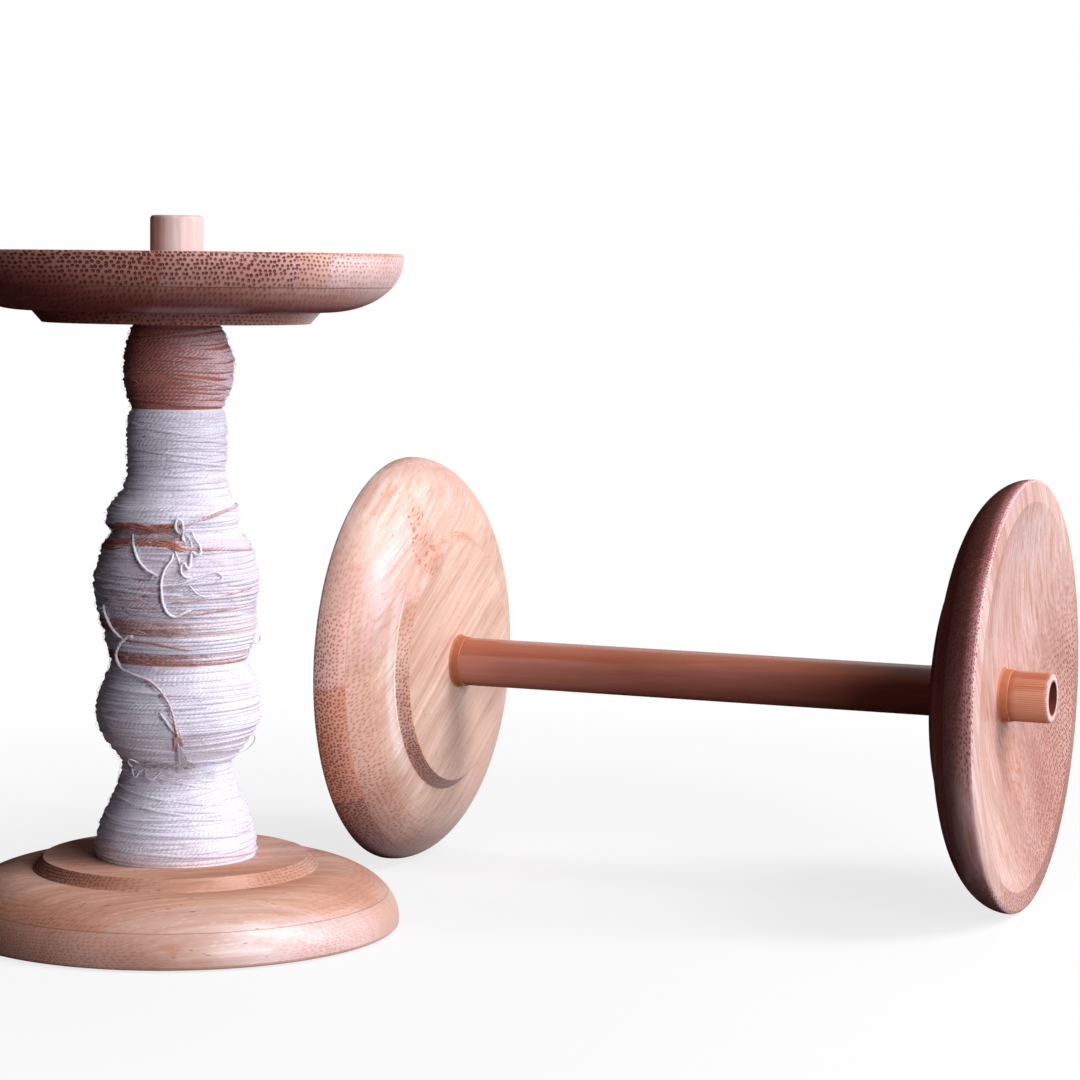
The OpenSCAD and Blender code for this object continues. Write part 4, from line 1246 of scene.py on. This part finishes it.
by_piece = {
    "white_fluff": white_wisps, "blush_fluff": white_wisps, "terracotta_fluff": red_wisps, "loose_yarn_loops": sprung,
    "fine_ends": sprung, "belly_winding": painted_shade_white_cotton, "rust_band_winding": rust_cotton,
    "shoulder_strands": rust_cotton,
}
print("cottons:", sorted({m.name for m in (*by_slot.values(), *by_piece.values())}))

# %% Put the materials on
NODE_MATERIALS = {
    base_board: ("wound_lower_rim_ply", "wound_lower_step_ply"),
    top_board: ("wound_upper_rim_ply", "wound_upper_step_ply"),
    left_board: ("empty_left_rim_ply", "empty_left_step_ply"),
    right_board: ("empty_right_rim_ply", "empty_right_step_ply"),
    pale_rod: ("wound_tube",), red_rod: ("empty_tube",), glue_material: ("wound_glue", "empty_glue"),
}
cad_pieces = [(frame["nodes"][name], material) for material, names in NODE_MATERIALS.items() for name in names]
soft_pieces = [
    (obj, by_piece.get(obj.name, by_slot[obj["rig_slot"]]))
    for obj in bpy.context.scene.objects if "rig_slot" in obj and obj["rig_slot"] in by_slot
]
for obj, material in cad_pieces + soft_pieces:
    obj.data.materials.clear()
    obj.data.materials.append(material)
print("materials on", len(cad_pieces), "CAD nodes and", len(soft_pieces), "soft pieces")

# %% [markdown]
# ## Floor, light and background
#
# The pair stands on a pale floor that runs out to white. The floor and the world look white to
# the camera and in reflections and are dim for everything else, so the white background throws
# no light on the bobbins, and their shadow stays. Most light comes from the right, as in the
# photo: a narrow window, a large soft box high up and another one low towards the camera. A weak
# one behind keeps the back from going black.

# %% Floor
def seen_share(tree):
    """1 for the camera's rays and for reflected and refracted ones, 0 for rays that carry light."""
    ray = add_node(tree, "LightPath")
    return maths("MAXIMUM", ray["Is Camera Ray"], maths("MAXIMUM", ray["Is Glossy Ray"], ray["Is Transmission Ray"]))


bpy.ops.mesh.primitive_grid_add(x_subdivisions=8, y_subdivisions=8, size=6, location=(0.09, 0.05, -0.0004))
floor = bpy.context.object
floor.name = "floor"
bpy.ops.object.transform_apply(location=True, rotation=True, scale=True)
bpy.ops.object.select_all(action="DESELECT")
floor_material, tree, shader = new_material("pale floor")
feed(shader.inputs["Roughness"], 0.85)
feed(shader.inputs["Specular IOR Level"], 0.1)
away = vectors("LENGTH", mapped(add_node(tree, "TexCoord")["Object"], Location=(0.09, 0.05, 0)))
seen = seen_share(tree)
feed(shader.inputs["Base Color"], mixed(seen, (0.05, 0.04, 0.05, 1), (0.92, 0.92, 0.93, 1)))
white = add_node(tree, "Emission", {"Color": (1, 1, 1, 1), "Strength": 1.0})[0]
share = seen * (step_up(away, 0.10, 0.40) * 0.22 + 0.78)
lit_floor = add_node(tree, "MixShader", {0: share, 1: Value(tree, shader.outputs[0]), 2: white})[0]
feed(tree.nodes["Material Output"].inputs["Surface"], lit_floor)
floor.data.materials.append(floor_material)
print("floor: 6 m wide")

# %% World and lamps
world = bpy.context.scene.world or bpy.data.worlds.new("studio")
bpy.context.scene.world = world
world.use_nodes = True
tree = world.node_tree
tree.nodes.clear()
around = add_node(tree, "Background", {"Color": (0.95, 0.80, 1.0, 1), "Strength": 0.036})[0]
backdrop = add_node(tree, "Background", {"Color": (1, 1, 1, 1), "Strength": 1.0})[0]
surroundings = add_node(tree, "MixShader", {0: seen_share(tree), 1: around, 2: backdrop})[0]
add_node(tree, "OutputWorld", {"Surface": surroundings})
MIDDLE = Vector((0.09, 0.05, 0.06))
LAMPS = [  # name, azimuth from -Y towards +X, elevation, distance, width, height, power, colour
    ("low softbox", 53, 14, 0.95, 0.4, 0.4, 5.6, (0.98, 0.97, 1.0)),
    ("window", 105, 24, 0.95, 0.2, 0.5, 4.9, (0.98, 0.96, 1.0)),
    ("high softbox", 92, 50, 1.0, 0.4, 0.4, 6.2, (1, 1, 1)),
    ("back window", -155, 38, 1.1, 0.4, 0.4, 0.6, (1, 1, 1)),
]
for name, azimuth, elevation, distance, wide, tall, power, color in LAMPS:
    data = bpy.data.lights.new(name, "AREA")
    data.shape = "RECTANGLE"
    data.size, data.size_y, data.energy, data.color = wide, tall, power, color
    lamp = bpy.data.objects.new(name, data)
    bpy.context.scene.collection.objects.link(lamp)
    a, e = math.radians(azimuth), math.radians(elevation)
    towards_lamp = Vector((math.sin(a) * math.cos(e), -math.cos(a) * math.cos(e), math.sin(e)))
    lamp.location = MIDDLE + towards_lamp * distance
    lamp.rotation_euler = towards_lamp.to_track_quat("Z", "Y").to_euler()
bpy.context.scene.view_settings.view_transform = "Standard"
print("lamps:", ", ".join(name for name, *_ in LAMPS))
